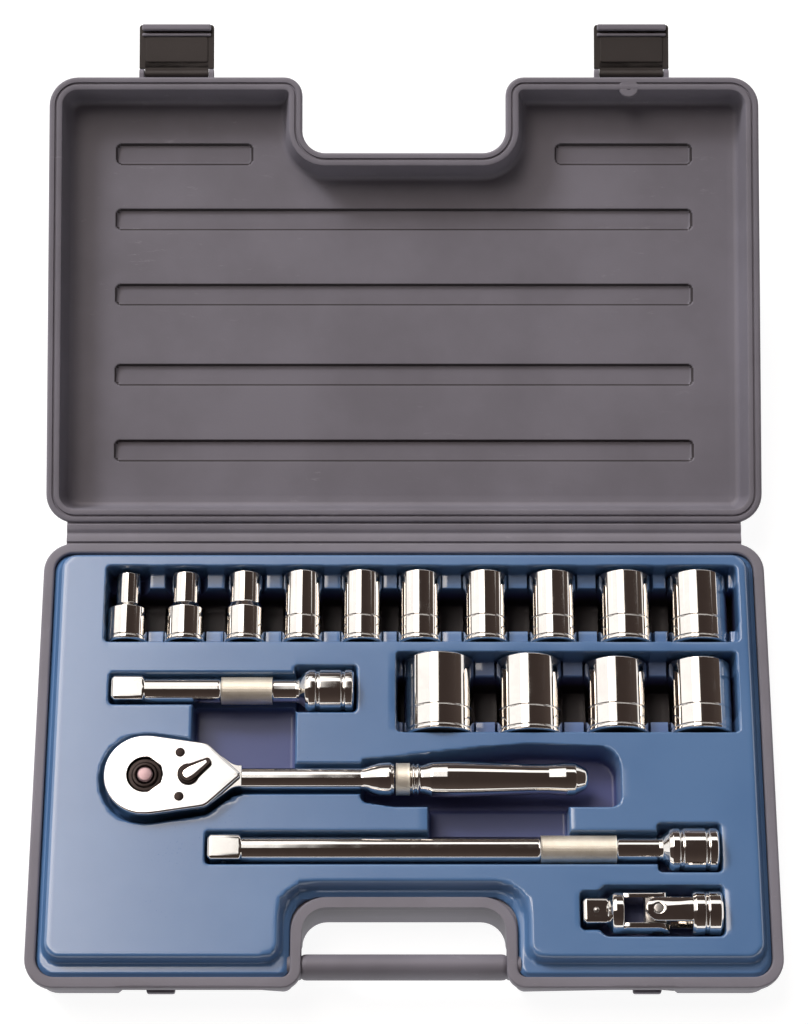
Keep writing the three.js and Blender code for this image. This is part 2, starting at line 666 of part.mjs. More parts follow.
/** A socket lying along Y: nut end to the back, drive square to the front, open right through. */
function socketShape(row, socket) {
  const length = row.length + (socket.extra ?? 0);
  const z = socketHeight(row, socket);
  const outer = socket.outer / 2;
  const nose = socket.nose / 2;
  const stepped = nose < outer - 1;
  const half = length / 2;
  const chamfer = 0.9;
  const step = half - 17;
  const profile = stepped
    ? [[outer - chamfer, -half], [outer, -half + chamfer], [outer, step - 3], [nose, step],
      [nose, half - chamfer], [nose - chamfer, half]]
    : [[outer - chamfer, -half], [outer, -half + chamfer], [nose, half - chamfer], [nose - chamfer, half]];
  const centre = [socket.at, row.centre, z];
  const body = turned(profile, "y", centre);
  const square = (DRIVE_SQUARE + SQUARE_PLAY) / 2;
  const squareDepth = 16;
  const hexDepth = Math.min(19, length - squareDepth - 1);
  const y0 = row.centre - half;
  const y1 = row.centre + half;
  const hex = new THREE.CylinderGeometry(socket.size / Math.sqrt(3) + 0.1, socket.size / Math.sqrt(3) + 0.1,
    hexDepth + 1, 6);
  hex.rotateY(30 * RAD);
  hex.translate(socket.at, y1 - hexDepth / 2 + 0.5, z);
  const through = Math.min(square, socket.size / 2) - 0.8;
  return cut(
    body,
    block(socket.at - square, socket.at + square, y0 - 1, y0 + squareDepth, z - square, z + square),
    solid(hex),
    rod(through, length - 2, "y", centre, 10),
  );
}

function addSockets() {
  [ROW_BACK, ROW_FRONT].forEach((row) =>
    row.sockets.forEach((socket) =>
      piece(`socket_${String(socket.size).padStart(2, "0")}mm`, socketShape(row, socket), paint.chrome)));
}

// ---- extensions ---------------------------------------------------------------------------------

/** A ball let into the face of a drive square, and the pit it sinks into. */
function detent(centre, direction, squareHalf) {
  const [dx, dy, dz] = direction;
  const out = squareHalf + BALL_PROUD - BALL_RADIUS;
  const at = [centre[0] + dx * out, centre[1] + dy * out, centre[2] + dz * out];
  const depth = 5.2;
  const middle = squareHalf - depth / 2 + 1;
  const axis = dx ? "x" : dy ? "y" : "z";
  const pit = rod(BALL_RADIUS + 0.2, depth + 2, axis,
    [centre[0] + dx * middle, centre[1] + dy * middle, centre[2] + dz * middle], 16);
  return { ball: ball(BALL_RADIUS, at), pit };
}

/** An extension bar along X: drive square, shank, knurled band, then neck and socket end beyond it. */
function addExtension(bar) {
  const z = TOP - EXTENSION_SINK;
  const end = bar.start + bar.length;
  const bandEnd = end - bar.beyond;
  const shank = SHANK_DIAMETER / 2;
  const wide = SOCKET_END_DIAMETER / 2;
  const half = DRIVE_SQUARE / 2;
  const body = turned([
    [shank - 1.2, bar.start + SQUARE_LENGTH - 2],
    [shank, bar.start + SQUARE_LENGTH],
    [shank, bandEnd - bar.band],
    [BAND_DIAMETER / 2, bandEnd - bar.band + 0.4],
    [BAND_DIAMETER / 2, bandEnd - 0.4],
    [shank - 0.4, bandEnd],
    [shank - 0.4, end - SOCKET_END_LENGTH - 5],
    [wide - 1, end - SOCKET_END_LENGTH],
    [wide, end - SOCKET_END_LENGTH + 2],
    [wide, end - 1],
    [wide - 1, end],
  ], "x", [0, bar.y, z]);
  const upright = loft(rectangle(bar.y - half, bar.y + half, z - half, z + half, 1.2),
    [[0, 0.9], [0.9, 0], [SQUARE_LENGTH, 0]], 2);
  const male = upright.transform([0, 1, 0, 0, 0, 0, 1, 0, 1, 0, 0, 0, bar.start, 0, 0, 1]);
  const fit = half + SQUARE_PLAY / 2;
  const female = block(end - 15, end + 1, bar.y - fit, bar.y + fit, z - fit, z + fit);
  const { ball: sprung, pit } = detent([bar.start + 8, bar.y, z], [0, -1, 0], half);
  piece(`${bar.name}_bar`, cut(join(body, male), female, pit), paint.chrome);
  piece(`${bar.name}_detent_ball`, sprung, paint.steel);
}

// ---- universal joint ----------------------------------------------------------------------------

/** A fork about the pivot: two arms across one axis, joined by a web that faces away along X. */
function fork(way, across, pivot, z) {
  const r = YOKE_DIAMETER / 2;
  const slot = YOKE_SLOT / 2;
  const full = rod(r, YOKE_CLEAR + 5, "x", [pivot + (way * (YOKE_CLEAR + 5)) / 2, JOINT_Y, z], 20);
  const hub = rod(r - 4.5, 2 * r, across, [pivot, JOINT_Y, z], 20);
  const pin = rod(CROSS_PIN / 2 + 0.2, 3 * r, across, [pivot, JOINT_Y, z], 16);
  const long = YOKE_CLEAR * 2;
  const gap = across === "y"
    ? block(pivot - long / 2, pivot + long / 2, JOINT_Y - slot, JOINT_Y + slot, z - 2 * r, z + 2 * r)
    : block(pivot - long / 2, pivot + long / 2, JOINT_Y - 2 * r, JOINT_Y + 2 * r, z - slot, z + slot);
  const clipped = hub.intersect(rod(r, 4 * r, "x", [pivot, JOINT_Y, z], 20));
  const narrow = across === "y"
    ? block(pivot - 60, pivot + 60, JOINT_Y - r, JOINT_Y + r, z - (r - 4.5), z + (r - 4.5))
    : block(pivot - 60, pivot + 60, JOINT_Y - (r - 4.5), JOINT_Y + (r - 4.5), z - r, z + r);
  const web = rod(r, 5, "x", [pivot + way * (YOKE_CLEAR + 2.5), JOINT_Y, z], 20);
  return cut(join(full.intersect(narrow), clipped, web), gap, pin);
}

function addUniversalJoint() {
  const z = TOP - JOINT_SINK;
  const end = JOINT_START + JOINT_LENGTH;
  const pivot = JOINT_START + 36.5;
  const half = DRIVE_SQUARE / 2;
  const fit = half + SQUARE_PLAY / 2;
  const r = YOKE_DIAMETER / 2;
  const square = block(JOINT_START, pivot - YOKE_CLEAR - 2,
    JOINT_Y - half, JOINT_Y + half, z - half, z + half);
  const { ball: sprung, pit } = detent([JOINT_START + 6.5, JOINT_Y, z], [0, 0, 1], half);
  const driven = cut(join(fork(-1, "y", pivot, z), square), pit);
  const sleeve = turned([[r, pivot + YOKE_CLEAR], [r + 0.6, pivot + YOKE_CLEAR + 2], [r + 0.6, end - 1],
    [r - 0.4, end]], "x", [0, JOINT_Y, z]);
  const bore = block(end - 11.5, end + 1, JOINT_Y - fit, JOINT_Y + fit, z - fit, z + fit);
  const driving = cut(join(fork(1, "z", pivot, z), sleeve), bore);
  const cube = CROSS_SIZE / 2;
  const hole = CROSS_PIN / 2 + 0.2;
  const cross = cut(
    block(pivot - cube, pivot + cube, JOINT_Y - cube, JOINT_Y + cube, z - cube, z + cube),
    rod(hole, 2 * CROSS_SIZE, "y", [pivot, JOINT_Y, z], 16),
    rod(hole, 2 * CROSS_SIZE, "z", [pivot, JOINT_Y, z], 16),
  );
  const pinLength = 2 * r - 1.6;
  const longPin = rod(CROSS_PIN / 2, pinLength, "y", [pivot, JOINT_Y, z], 16);
  const stub = pinLength / 2 - CROSS_PIN / 2 - GAP;
  piece("universal_joint_square_yoke", driven, paint.chrome);
  piece("universal_joint_socket_yoke", driving, paint.chrome);
  piece("universal_joint_cross", cross, paint.steel);
  piece("universal_joint_long_pin", longPin, paint.steel);
  [["upper", 1], ["lower", -1]].forEach(([place, way]) =>
    piece(`universal_joint_${place}_pin`,
      rod(CROSS_PIN / 2, stub, "z", [pivot, JOINT_Y, z + way * (CROSS_PIN / 2 + GAP + stub / 2)], 16),
      paint.steel));
  piece("universal_joint_detent_ball", sprung, paint.steel);
}

// ---- ratchet ------------------------------------------------------------------------------------

/** The forged body: head with its gear and pawl chamber, shank, and flared ferrule. */
function ratchetBody() {
  const z = TOP - RATCHET_SINK;
  const plateBottom = HEAD_TOP - PLATE;
  const headTop = plateBottom - GAP;
  const headBottom = headTop - HEAD_THICKNESS;
  const corners = atRatchet(headCorners());
  const head = loft(corners, [[headBottom, 1.4], [headBottom + 1.4, 0], [headTop, 0]]);
  const shankEnd = GRIP_START - 0.2;
  const neck = SHANK / 2;
  const shank = turned([
    [neck, HEAD_REACH - 4],
    [neck, GRIP_START - 16],
    [neck + 1.4, GRIP_START - 12],
    [GRIP_RADIUS - 0.4, GRIP_START - 5],
    [GRIP_RADIUS - 0.2, GRIP_START - 2],
    [GRIP_RADIUS - 1, shankEnd],
  ], "x", [RATCHET_X, RATCHET_Y, z]);
  const tang = rod(4, 24, "x", [RATCHET_X + GRIP_START + 10, RATCHET_Y, z], 20);
  const floor = headBottom + 2.4;
  const chamber = rod(GEAR_RADIUS + 0.7, headTop - floor + 2, "z",
    [RATCHET_X, RATCHET_Y, (headTop + floor) / 2 + 1], 24);
  const journal = rod(JOURNAL_RADIUS + 0.4, 10, "z", [RATCHET_X, RATCHET_Y, headBottom], 20);
  const pawlRoom = rod(9, headTop - floor + 2, "z",
    [RATCHET_X + LEVER_OFFSET - 2, RATCHET_Y, (headTop + floor) / 2 + 1], 16);
  const screws = [-1, 1].map((side) =>
    rod(1.9, 9, "z", [RATCHET_X + SCREW_OFFSET[0], RATCHET_Y + side * SCREW_OFFSET[1], headTop - 3], 10));
  return cut(join(head, shank, tang), chamber, journal, pawlRoom, screws);
}

/** The cover plate over the head, with holes for the drive's hub, the lever and two countersunk screws. */
function coverPlate() {
  const corners = atRatchet(headCorners());
  const middle = HEAD_TOP - PLATE / 2;
  const plate = loft(corners, [[HEAD_TOP - PLATE, 0], [HEAD_TOP - 0.8, 0], [HEAD_TOP, 0.8]])
    .subtract(block(RATCHET_X + HEAD_REACH - 2, RATCHET_X + HEAD_REACH + 9, RATCHET_Y - 20, RATCHET_Y + 20,
      HEAD_TOP - 6, HEAD_TOP + 2));
  const hub = rod(9.1, 6, "z", [RATCHET_X, RATCHET_Y, middle], 24);
  const lever = rod(4.4, 6, "z", [RATCHET_X + LEVER_OFFSET, RATCHET_Y, middle], 20);
  const screws = [-1, 1].map((side) =>
    rod(SCREW_RADIUS + 0.25, 6, "z",
      [RATCHET_X + SCREW_OFFSET[0], RATCHET_Y + side * SCREW_OFFSET[1], middle], 16));
  return cut(plate, hub, lever, screws);
}

/** The toothed drive with its square anvil, bored for the release button. */
function driveGear() {
  const headTop = HEAD_TOP - PLATE - GAP;
  const headBottom = headTop - HEAD_THICKNESS;
  const floor = headBottom + 2.4 + GAP;
  const teeth = [];
  for (let i = 0; i < GEAR_TEETH * 2; i++) {
    const radius = i % 2 ? GEAR_RADIUS - 1.1 : GEAR_RADIUS;
    const angle = (i * Math.PI) / GEAR_TEETH;
    teeth.push([RATCHET_X + radius * Math.cos(angle), RATCHET_Y + radius * Math.sin(angle), 0.2]);
  }
  const ring = prism(teeth, floor, floor + GEAR_HEIGHT, 0, 1);
  const hub = rod(8.7, HEAD_TOP - 1.2 - floor - 1, "z",
    [RATCHET_X, RATCHET_Y, (HEAD_TOP - 1.2 + floor + 1) / 2], 20);
  const journal = rod(JOURNAL_RADIUS, floor - headBottom + 0.6, "z",
    [RATCHET_X, RATCHET_Y, (floor + headBottom - 0.2) / 2], 20);
  const half = DRIVE_SQUARE / 2;
  const anvil = block(RATCHET_X - half, RATCHET_X + half, RATCHET_Y - half, RATCHET_Y + half,
    headBottom - ANVIL_LENGTH, headBottom + 1);
  const wellFloor = floor + 1;
  const well = rod(BUTTON_RADIUS + 0.4, 40, "z", [RATCHET_X, RATCHET_Y, wellFloor + 20], 20);
  const shaft = rod(2.5, wellFloor - headBottom + ANVIL_LENGTH - 3, "z",
    [RATCHET_X, RATCHET_Y, (wellFloor + 1 + headBottom - ANVIL_LENGTH + 4) / 2], 16);
  return cut(join(ring, hub, journal, anvil), well, shaft);
}

/** The reversing lever: boss, tapering finger and spindle, drawn pointing to where it rests. */
function reversingLever() {
  const tip = LEVER_LENGTH;
  const angle = LEVER_ANGLE * RAD;
  const turnPoint = ([x, y, r]) => [
    RATCHET_X + LEVER_OFFSET + x * Math.cos(angle) - y * Math.sin(angle),
    RATCHET_Y + x * Math.sin(angle) + y * Math.cos(angle),
    r,
  ];
  const corners = [[-5.2, -5.2, 5.1], [2, -5.2, 4], [tip + 2, -2, 1.9], [tip + 2, 2, 1.9], [2, 5.2, 4],
    [-5.2, 5.2, 5.1]];
  const finger = loft(corners.map(turnPoint),
    [[HEAD_TOP + GAP, 0], [HEAD_TOP + 1.7, 0], [HEAD_TOP + 2.4, 0.7]], 4);
  const spindle = rod(4, 3.5, "z",
    [RATCHET_X + LEVER_OFFSET, RATCHET_Y, HEAD_TOP - 1], 20);
  return join(finger, spindle);
}

/** The pawl under the lever, held clear of the gear's teeth. */
function pawl() {
  const headTop = HEAD_TOP - PLATE - GAP;
  const floor = headTop - HEAD_THICKNESS + 2.4 + GAP;
  const centre = [RATCHET_X + LEVER_OFFSET, RATCHET_Y, floor + GEAR_HEIGHT / 2];
  const round = rod(5.4, GEAR_HEIGHT, "z", centre, 20);
  const stem = rod(2.4, HEAD_TOP - 3 - floor, "z",
    [centre[0], centre[1], (HEAD_TOP - 3 + floor) / 2], 16);
  const nose = block(centre[0] - 8.2, centre[0] - 2, centre[1] - 2.6, centre[1] + 2.6,
    floor, floor + GEAR_HEIGHT);
  return join(round, stem, nose);
}

/** The release button: a cap that stands in the drive's hub, with a rod down to the ball. */
function releaseButton() {
  const headTop = HEAD_TOP - PLATE - GAP;
  const headBottom = headTop - HEAD_THICKNESS;
  const base = headBottom + 2.4 + GAP + 1 + BUTTON_TRAVEL + GAP;
  const top = HEAD_TOP + 0.4;
  const cap = turned([[BUTTON_RADIUS, base], [BUTTON_RADIUS, top - 0.8], [BUTTON_RADIUS - 0.8, top]], "z",
    [RATCHET_X, RATCHET_Y, 0], 24);
  const rodLength = base - headBottom + 3;
  const stem = rod(1.6, rodLength, "z", [RATCHET_X, RATCHET_Y, base - rodLength / 2 + 0.5], 12);
  return join(cap, stem);
}

/** A cover screw, its head flush with the plate. */
function coverScrew(side) {
  const at = [RATCHET_X + SCREW_OFFSET[0], RATCHET_Y + side * SCREW_OFFSET[1]];
  const head = rod(SCREW_RADIUS, 1.6, "z", [at[0], at[1], HEAD_TOP - 1], 16);
  const shank = rod(1.5, 7, "z", [at[0], at[1], HEAD_TOP - 4.5], 12);
  const slot = block(at[0] - SCREW_RADIUS, at[0] + SCREW_RADIUS, at[1] - 0.35, at[1] + 0.35,
    HEAD_TOP - 0.9, HEAD_TOP + 1);
  return cut(join(head, shank), slot);
}

/** The grip: knurled collar, bright ring, contoured handle and bevelled tip, bored for the body's tang. */
function grip() {
  const z = TOP - RATCHET_SINK;
  const total = RATCHET_LENGTH - HEAD_RADIUS;
  const from = GRIP_START + GAP;
  const body = turned([
    [GRIP_RADIUS - 1, from],
    [GRIP_RADIUS - 0.6, from + 0.5],
    [GRIP_RADIUS - 0.6, from + 7],
    [GRIP_RADIUS - 1.8, from + 7.8],
    [GRIP_RADIUS - 0.8, from + 9],
    [GRIP_RADIUS - 0.8, from + 11.5],
    [GRIP_RADIUS - 1.6, from + 12.5],
    [GRIP_RADIUS, from + 18],
    [GRIP_RADIUS + 0.2, from + 32],
    [GRIP_RADIUS - 0.6, from + 55],
    [GRIP_RADIUS - 1.4, from + 76],
    [GRIP_RADIUS - 0.6, total - 11],
    [GRIP_RADIUS - 0.8, total - 6],
    [GRIP_RADIUS - 3.6, total - 1],
    [GRIP_RADIUS - 5, total],
  ], "x", [RATCHET_X, RATCHET_Y, z]);
  const bore = rod(4.3, 26, "x", [RATCHET_X + GRIP_START + 10.5, RATCHET_Y, z], 20);
  return cut(body, bore);
}

function addRatchet() {
  const headBottom = HEAD_TOP - PLATE - GAP - HEAD_THICKNESS;
  const ballCentre = [RATCHET_X, RATCHET_Y, headBottom - ANVIL_LENGTH + 6];
  const { ball: sprung, pit } = detent(ballCentre, [0, -1, 0], DRIVE_SQUARE / 2);
  piece("ratchet_body", ratchetBody(), paint.chrome);
  piece("ratchet_cover_plate", coverPlate(), paint.chrome);
  piece("ratchet_drive_gear", cut(driveGear(), pit), paint.steel);
  piece("ratchet_release_button", releaseButton(), paint.button);
  piece("ratchet_detent_ball", sprung, paint.steel);
  piece("ratchet_reversing_lever", reversingLever(), paint.steel);
  piece("ratchet_pawl", pawl(), paint.steel);
  piece("ratchet_cover_screw_back", coverScrew(1), paint.steel);
  piece("ratchet_cover_screw_front", coverScrew(-1), paint.steel);
  piece("ratchet_grip", grip(), paint.chrome);
}

// ---- the set ------------------------------------------------------------------------------------
piece("base_shell", baseShell(), paint.shell);
tiltWithLid(piece("lid_shell", lidShell(), paint.shell));
tiltWithLid(piece("latch_left", latchFlap(-1), paint.latch));
tiltWithLid(piece("latch_right", latchFlap(1), paint.latch));
piece("tray", tray(), paint.tray);
addSockets();
addExtension(EXTENSION_SHORT);
addExtension(EXTENSION_LONG);
addUniversalJoint();
addRatchet();

export default set;
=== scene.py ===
import json
import math

import bmesh
import bpy
import numpy as np
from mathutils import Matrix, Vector


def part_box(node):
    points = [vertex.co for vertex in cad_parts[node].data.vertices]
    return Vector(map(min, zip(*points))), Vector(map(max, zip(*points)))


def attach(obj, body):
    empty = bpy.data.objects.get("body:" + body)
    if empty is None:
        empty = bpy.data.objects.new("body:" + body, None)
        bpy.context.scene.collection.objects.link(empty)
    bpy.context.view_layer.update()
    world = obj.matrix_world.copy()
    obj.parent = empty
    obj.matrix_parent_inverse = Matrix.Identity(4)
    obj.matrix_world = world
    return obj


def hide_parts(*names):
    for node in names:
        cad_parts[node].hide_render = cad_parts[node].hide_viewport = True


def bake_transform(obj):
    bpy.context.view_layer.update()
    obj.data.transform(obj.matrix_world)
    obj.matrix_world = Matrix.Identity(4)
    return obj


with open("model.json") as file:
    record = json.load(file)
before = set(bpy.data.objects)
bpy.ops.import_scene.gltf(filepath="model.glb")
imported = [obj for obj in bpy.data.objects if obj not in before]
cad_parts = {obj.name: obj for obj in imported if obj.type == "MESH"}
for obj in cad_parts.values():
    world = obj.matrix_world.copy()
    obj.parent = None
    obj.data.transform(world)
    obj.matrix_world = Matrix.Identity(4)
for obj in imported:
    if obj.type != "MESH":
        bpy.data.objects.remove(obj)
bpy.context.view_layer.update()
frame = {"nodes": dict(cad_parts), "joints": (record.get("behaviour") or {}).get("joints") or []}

# Shapes are worked out in millimetres and written to meshes in metres.
MM = 0.001
MOST_TRIANGLES = 185000  # past which a piece's hidden under side is thinned
AROUND = 96  # points round a turned piece; a multiple of 24, so that squares and hexagons keep their corners

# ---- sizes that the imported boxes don't give, in millimetres ---------------------------------------
CORNER_RADIUS = 15
WALL = 2.5
RIM_WIDTH = 5.5
RIM_LIP = 5
DRAFT = 7
NOTCH_HALF = 50
NOTCH_DEPTH = 40
NOTCH_RADIUS = 12
LID_NOTCH_EXTRA = 3
LID_HEIGHT = 19.5
RIM_GAP = 0.3  # between the closed lid's rim and the base's
GUTTER = 1.4
GROOVE_DEPTH = 1.9
LID_RIM_WIDTH = 7
FLANGE_DROP = 1
TRAY_SHEET = 1.2
DRIVE_SQUARE = 12.7
SOCKET_BORE = 12.9
FIT = 0.4
LATCH_AXIS_OUT = 2.6
LATCH_AXIS_DROP = 6
RATCHET_SINK = 1.5
FINGER_HOLLOW = 16
SOCKETS_BACK = {8: 12.6, 10: 15, 12: 17.6, 13: 20, 14: 0, 15: 0, 16: 0, 17: 0, 19: 0, 21: 0}
SOCKETS_FRONT = {27: 0, 24: 0, 23: 0, 22: 0}
# Each row: its sockets, the depth of its saddles, and the room left round them at the left, right and ends.
ROWS = ((SOCKETS_BACK, 9, (0.5, 4.4, 1.5)), (SOCKETS_FRONT, 12, (4, 2, 0.7)))


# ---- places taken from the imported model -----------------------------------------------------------
def box_of(node):
    """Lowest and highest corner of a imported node, in millimetres."""
    low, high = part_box(node)
    return np.array(low) / MM, np.array(high) / MM


def socket_name(size):
    return f"socket_{size:02d}mm"


base_low, base_high = box_of("base_shell")
HALF_X = base_high[0]
HALF_Y = -base_low[1]
RIM = base_high[2]
hinge_joint = next(j for j in frame["joints"] if j["name"] == "lid_hinge")
HINGE_Y = hinge_joint["pos_m"][1] / MM
LID_TILT = math.radians(180 + hinge_joint["range_deg"][0])
TOP = box_of("tray")[1][2]
FLANGE = RIM - FLANGE_DROP
SEAT = FLANGE - TRAY_SHEET - GUTTER - 0.3
LID_FRONT = 2 * HINGE_Y + HALF_Y
LID_RIM = RIM - RIM_GAP


# ---- meshes ---------------------------------------------------------------------------------------
def quads_of(rows, columns, closed_rows, closed_columns):
    """Four corners of every cell of a grid of points, wrapping round where a side is closed."""
    r = np.arange(rows if closed_rows else rows - 1)
    c = np.arange(columns if closed_columns else columns - 1)
    r, c = (a.ravel() for a in np.meshgrid(r, c, indexing="ij"))
    up, right = (r + 1) % rows, (c + 1) % columns
    return np.stack([r * columns + c, r * columns + right, up * columns + right, up * columns + c], -1)


def skin(points, finish=0, closed=False):
    """A skin over rows of points. A closed one joins its last row to its first; others get a cap on each."""
    rows, columns = points.shape[:2]
    faces = quads_of(rows, columns, closed, True).tolist()
    if not closed:
        first = list(range(columns))
        faces.append(first[::-1])
        faces.append([(rows - 1) * columns + i for i in first])
    return points.reshape(-1, 3), faces, finish


def make(name, parts, finishes, body, stands_for=(), sharp=38):
    """One piece from several closed skins in millimetres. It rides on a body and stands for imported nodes."""
    points, faces, indices, offset = [], [], [], 0
    for part_points, part_faces, finish in parts:
        points.append(part_points)
        faces += [[i + offset for i in face] for face in part_faces]
        indices += list(np.broadcast_to(finish, len(part_faces)))
        offset += len(part_points)
    mesh = bpy.data.meshes.new(name)
    mesh.from_pydata((np.concatenate(points) * MM).tolist(), [], faces)
    mesh.polygons.foreach_set("material_index", indices)
    made = bmesh.new()
    made.from_mesh(mesh)
    bmesh.ops.recalc_face_normals(made, faces=made.faces)
    made.to_mesh(mesh)
    made.free()
    mesh.shade_smooth()
    mesh.set_sharp_from_angle(angle=math.radians(sharp))
    for finish in finishes:
        mesh.materials.append(finish)
    piece = bpy.data.objects.new(name, mesh)
    bpy.context.scene.collection.objects.link(piece)
    triangles = sum(len(face) - 2 for face in faces)
    if triangles > MOST_TRIANGLES:
        thinned = piece.modifiers.new("thinned", "DECIMATE")
        thinned.ratio = MOST_TRIANGLES / triangles
        under_side = piece.vertex_groups.new(name="under_side")
        facing_down = [vertex.index for vertex in mesh.vertices if vertex.normal.z < -0.05]
        under_side.add(facing_down, 1.0, "REPLACE")
        thinned.vertex_group = under_side.name
    shading = piece.modifiers.new("shading", "WEIGHTED_NORMAL")
    shading.keep_sharp = True
    shading.weight = 75
    if body is not None:
        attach(piece, body)
    if stands_for:
        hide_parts(*stands_for)
    return piece


# ---- outlines and lofts ---------------------------------------------------------------------------
def outline(corners, inset=0.0, steps=10):
    """Points round a counter-clockwise shape with rounded corners (x, y, radius), moved inwards by an inset.

    Each corner is an arc tangent to both its sides; its radius loses the inset where the shape turns left and
    gains it where the shape turns right, so the number of points never changes. The inset may differ at each
    corner.
    """
    corners = np.array(corners, float)
    at, radius = corners[:, :2], corners[:, 2]
    before = at - np.roll(at, 1, 0)
    before /= np.linalg.norm(before, axis=1)[:, None]
    after = np.roll(before, -1, 0)
    out_before = np.stack([before[:, 1], -before[:, 0]], -1)
    out_after = np.stack([after[:, 1], -after[:, 0]], -1)
    spread = 1 + (out_before * out_after).sum(1)
    inset = np.broadcast_to(np.asarray(inset, float), radius.shape)
    moved = at - inset[:, None] * (out_before + out_after) / spread[:, None]
    turn = np.sign(before[:, 0] * after[:, 1] - before[:, 1] * after[:, 0])
    kept = np.where(turn == 0, 0.0, np.maximum(radius - turn * inset, 0.15))
    half = np.arccos(np.clip((before * after).sum(1), -1, 1)) / 2
    start = moved - before * (kept * np.tan(half))[:, None]
    middle = start - (turn * kept)[:, None] * out_before
    begin = np.arctan2(*(start - middle)[:, ::-1].T)
    share = np.linspace(0, 1, steps + 1)
    angle = begin[:, None] + (2 * turn * half)[:, None] * share
    arc = np.stack([np.cos(angle), np.sin(angle)], -1) * kept[:, None, None]
    return (middle[:, None] + arc).reshape(-1, 2)


def loft(corners, levels, steps=10, lean=1.0):
    """Rows of points round an outline at several (height, inset) levels; lean scales each corner's inset."""
    rings = np.array([outline(corners, inset * np.asarray(lean), steps) for _, inset in levels])
    heights = np.array([height for height, _ in levels], float)
    heights = np.broadcast_to(heights[:, None, None], rings.shape[:2] + (1,))
    return np.concatenate([rings, heights], -1)


def rectangle(x0, x1, y0, y1, radius):
    return [(x0, y0, radius), (x1, y0, radius), (x1, y1, radius), (x0, y1, radius)]


def notched(x, front, back, radius, notch_half, notch_back, inner, outer):
    """A rectangle with a cut-out in the middle of its front side."""
    return [
        (-x, front, radius),
        (-notch_half, front, outer),
        (-notch_half, notch_back, inner),
        (notch_half, notch_back, inner),
        (notch_half, front, outer),
        (x, front, radius),
        (x, back, radius),
        (-x, back, radius),
    ]


def eased(profile, radius=0.4, steps=3):
    """A profile of (distance, radius) points with each inner corner swapped for a small parabola."""
    profile = np.array(profile, float)
    inner = profile[1:-1]
    back, ahead = profile[:-2] - inner, profile[2:] - inner
    reach = [np.minimum(radius / np.maximum(np.linalg.norm(v, axis=1), 1e-9), 0.45) for v in (back, ahead)]
    a, c = inner + back * reach[0][:, None], inner + ahead * reach[1][:, None]
    t = np.linspace(0, 1, steps)[None, :, None]
    arcs = (1 - t) ** 2 * a[:, None] + 2 * t * (1 - t) * inner[:, None] + t**2 * c[:, None]
    return np.concatenate([profile[:1], arcs.reshape(-1, 2), profile[-1:]])


# ---- turned pieces --------------------------------------------------------------------------------
ANGLE = np.arange(AROUND) * (2 * np.pi / AROUND)


def polygon(sides, across, corner=None):
    """Radius at every angle of a regular polygon: half its width over the cosine of the angle from a flat.

    A corner radius, measured from the axis, cuts the points off round.
    """
    each = 2 * np.pi / sides
    away = (ANGLE + each / 2) % each - each / 2
    radius = across / 2 / np.cos(away)
    return np.minimum(radius, corner) if corner else radius


def rounds(profile):
    """Rows of a round profile."""
    return [(distance, np.full(AROUND, radius)) for distance, radius in profile]


def turned(rows, axis, centre):
    """A profile carried round an axis: each row is a distance along it and a radius at every angle."""
    distance = np.array([row[0] for row in rows], float)
    radius = np.array([row[1] for row in rows], float)
    u, v = radius * np.cos(ANGLE), radius * np.sin(ANGLE)
    d = np.broadcast_to(distance[:, None], radius.shape)
    layout = {"x": (d, u, v), "y": (v, d, u), "z": (u, v, d)}[axis]
    return np.stack(layout, -1) + np.array(centre, float)


def knurled(start, end, radius, depth, pitch=1.3):
    """Rows of a diamond knurl: two helical sets of ridges, triangle waves of angle plus or minus distance."""
    count = max(3, int((end - start) / pitch * 4))
    around = round(2 * np.pi * radius / pitch / 4) * 4
    rows = []
    for distance in np.linspace(start, end, count):
        phase = ANGLE * around / (2 * np.pi)
        climb = (distance - start) / pitch
        first = np.abs((phase + climb) % 1 - 0.5)
        second = np.abs((phase - climb) % 1 - 0.5)
        fade = min(1.0, (distance - start) / 0.6, (end - distance) / 0.6)
        rows.append((distance, radius - depth * fade * (1 - 2 * np.minimum(first, second))))
    return rows


# ---- formed sheets --------------------------------------------------------------------------------
# The wall of a recess, from rounded lip to foot: distances inwards from its edge, and shares of its depth.
EDGE_STEPS = (-0.8, -0.2, 0.3, 0.9, 1.9)
EDGE_SHARES = (0.0, 0.03, 0.15, 0.94, 1.0)


def box_distance(x, y, x0, x1, y0, y1, radius=2.5):
    """Signed distance to a rectangle with rounded corners, negative inside."""
    qx = np.abs(x - (x0 + x1) / 2) - (x1 - x0) / 2 + radius
    qy = np.abs(y - (y0 + y1) / 2) - (y1 - y0) / 2 + radius
    outside = np.hypot(np.maximum(qx, 0), np.maximum(qy, 0))
    return outside + np.minimum(np.maximum(qx, qy), 0) - radius


def outline_distance(x, y, points):
    """Signed distance to a closed outline, negative inside: the nearest edge, and crossings to the right."""
    best = np.full(x.shape, 1e9)
    inside = np.zeros(x.shape, bool)
    for (ax, ay), (bx, by) in zip(points, np.roll(points, -1, 0)):
        ex, ey = bx - ax, by - ay
        length = ex * ex + ey * ey
        if length < 1e-12:
            continue
        t = np.clip(((x - ax) * ex + (y - ay) * ey) / length, 0, 1)
        best = np.minimum(best, (x - ax - t * ex) ** 2 + (y - ay - t * ey) ** 2)
        crosses = (ay > y) != (by > y)
        inside ^= crosses & (x < ex * (y - ay) / (ey if ey else 1) + ax)
    return np.where(inside, -np.sqrt(best), np.sqrt(best))


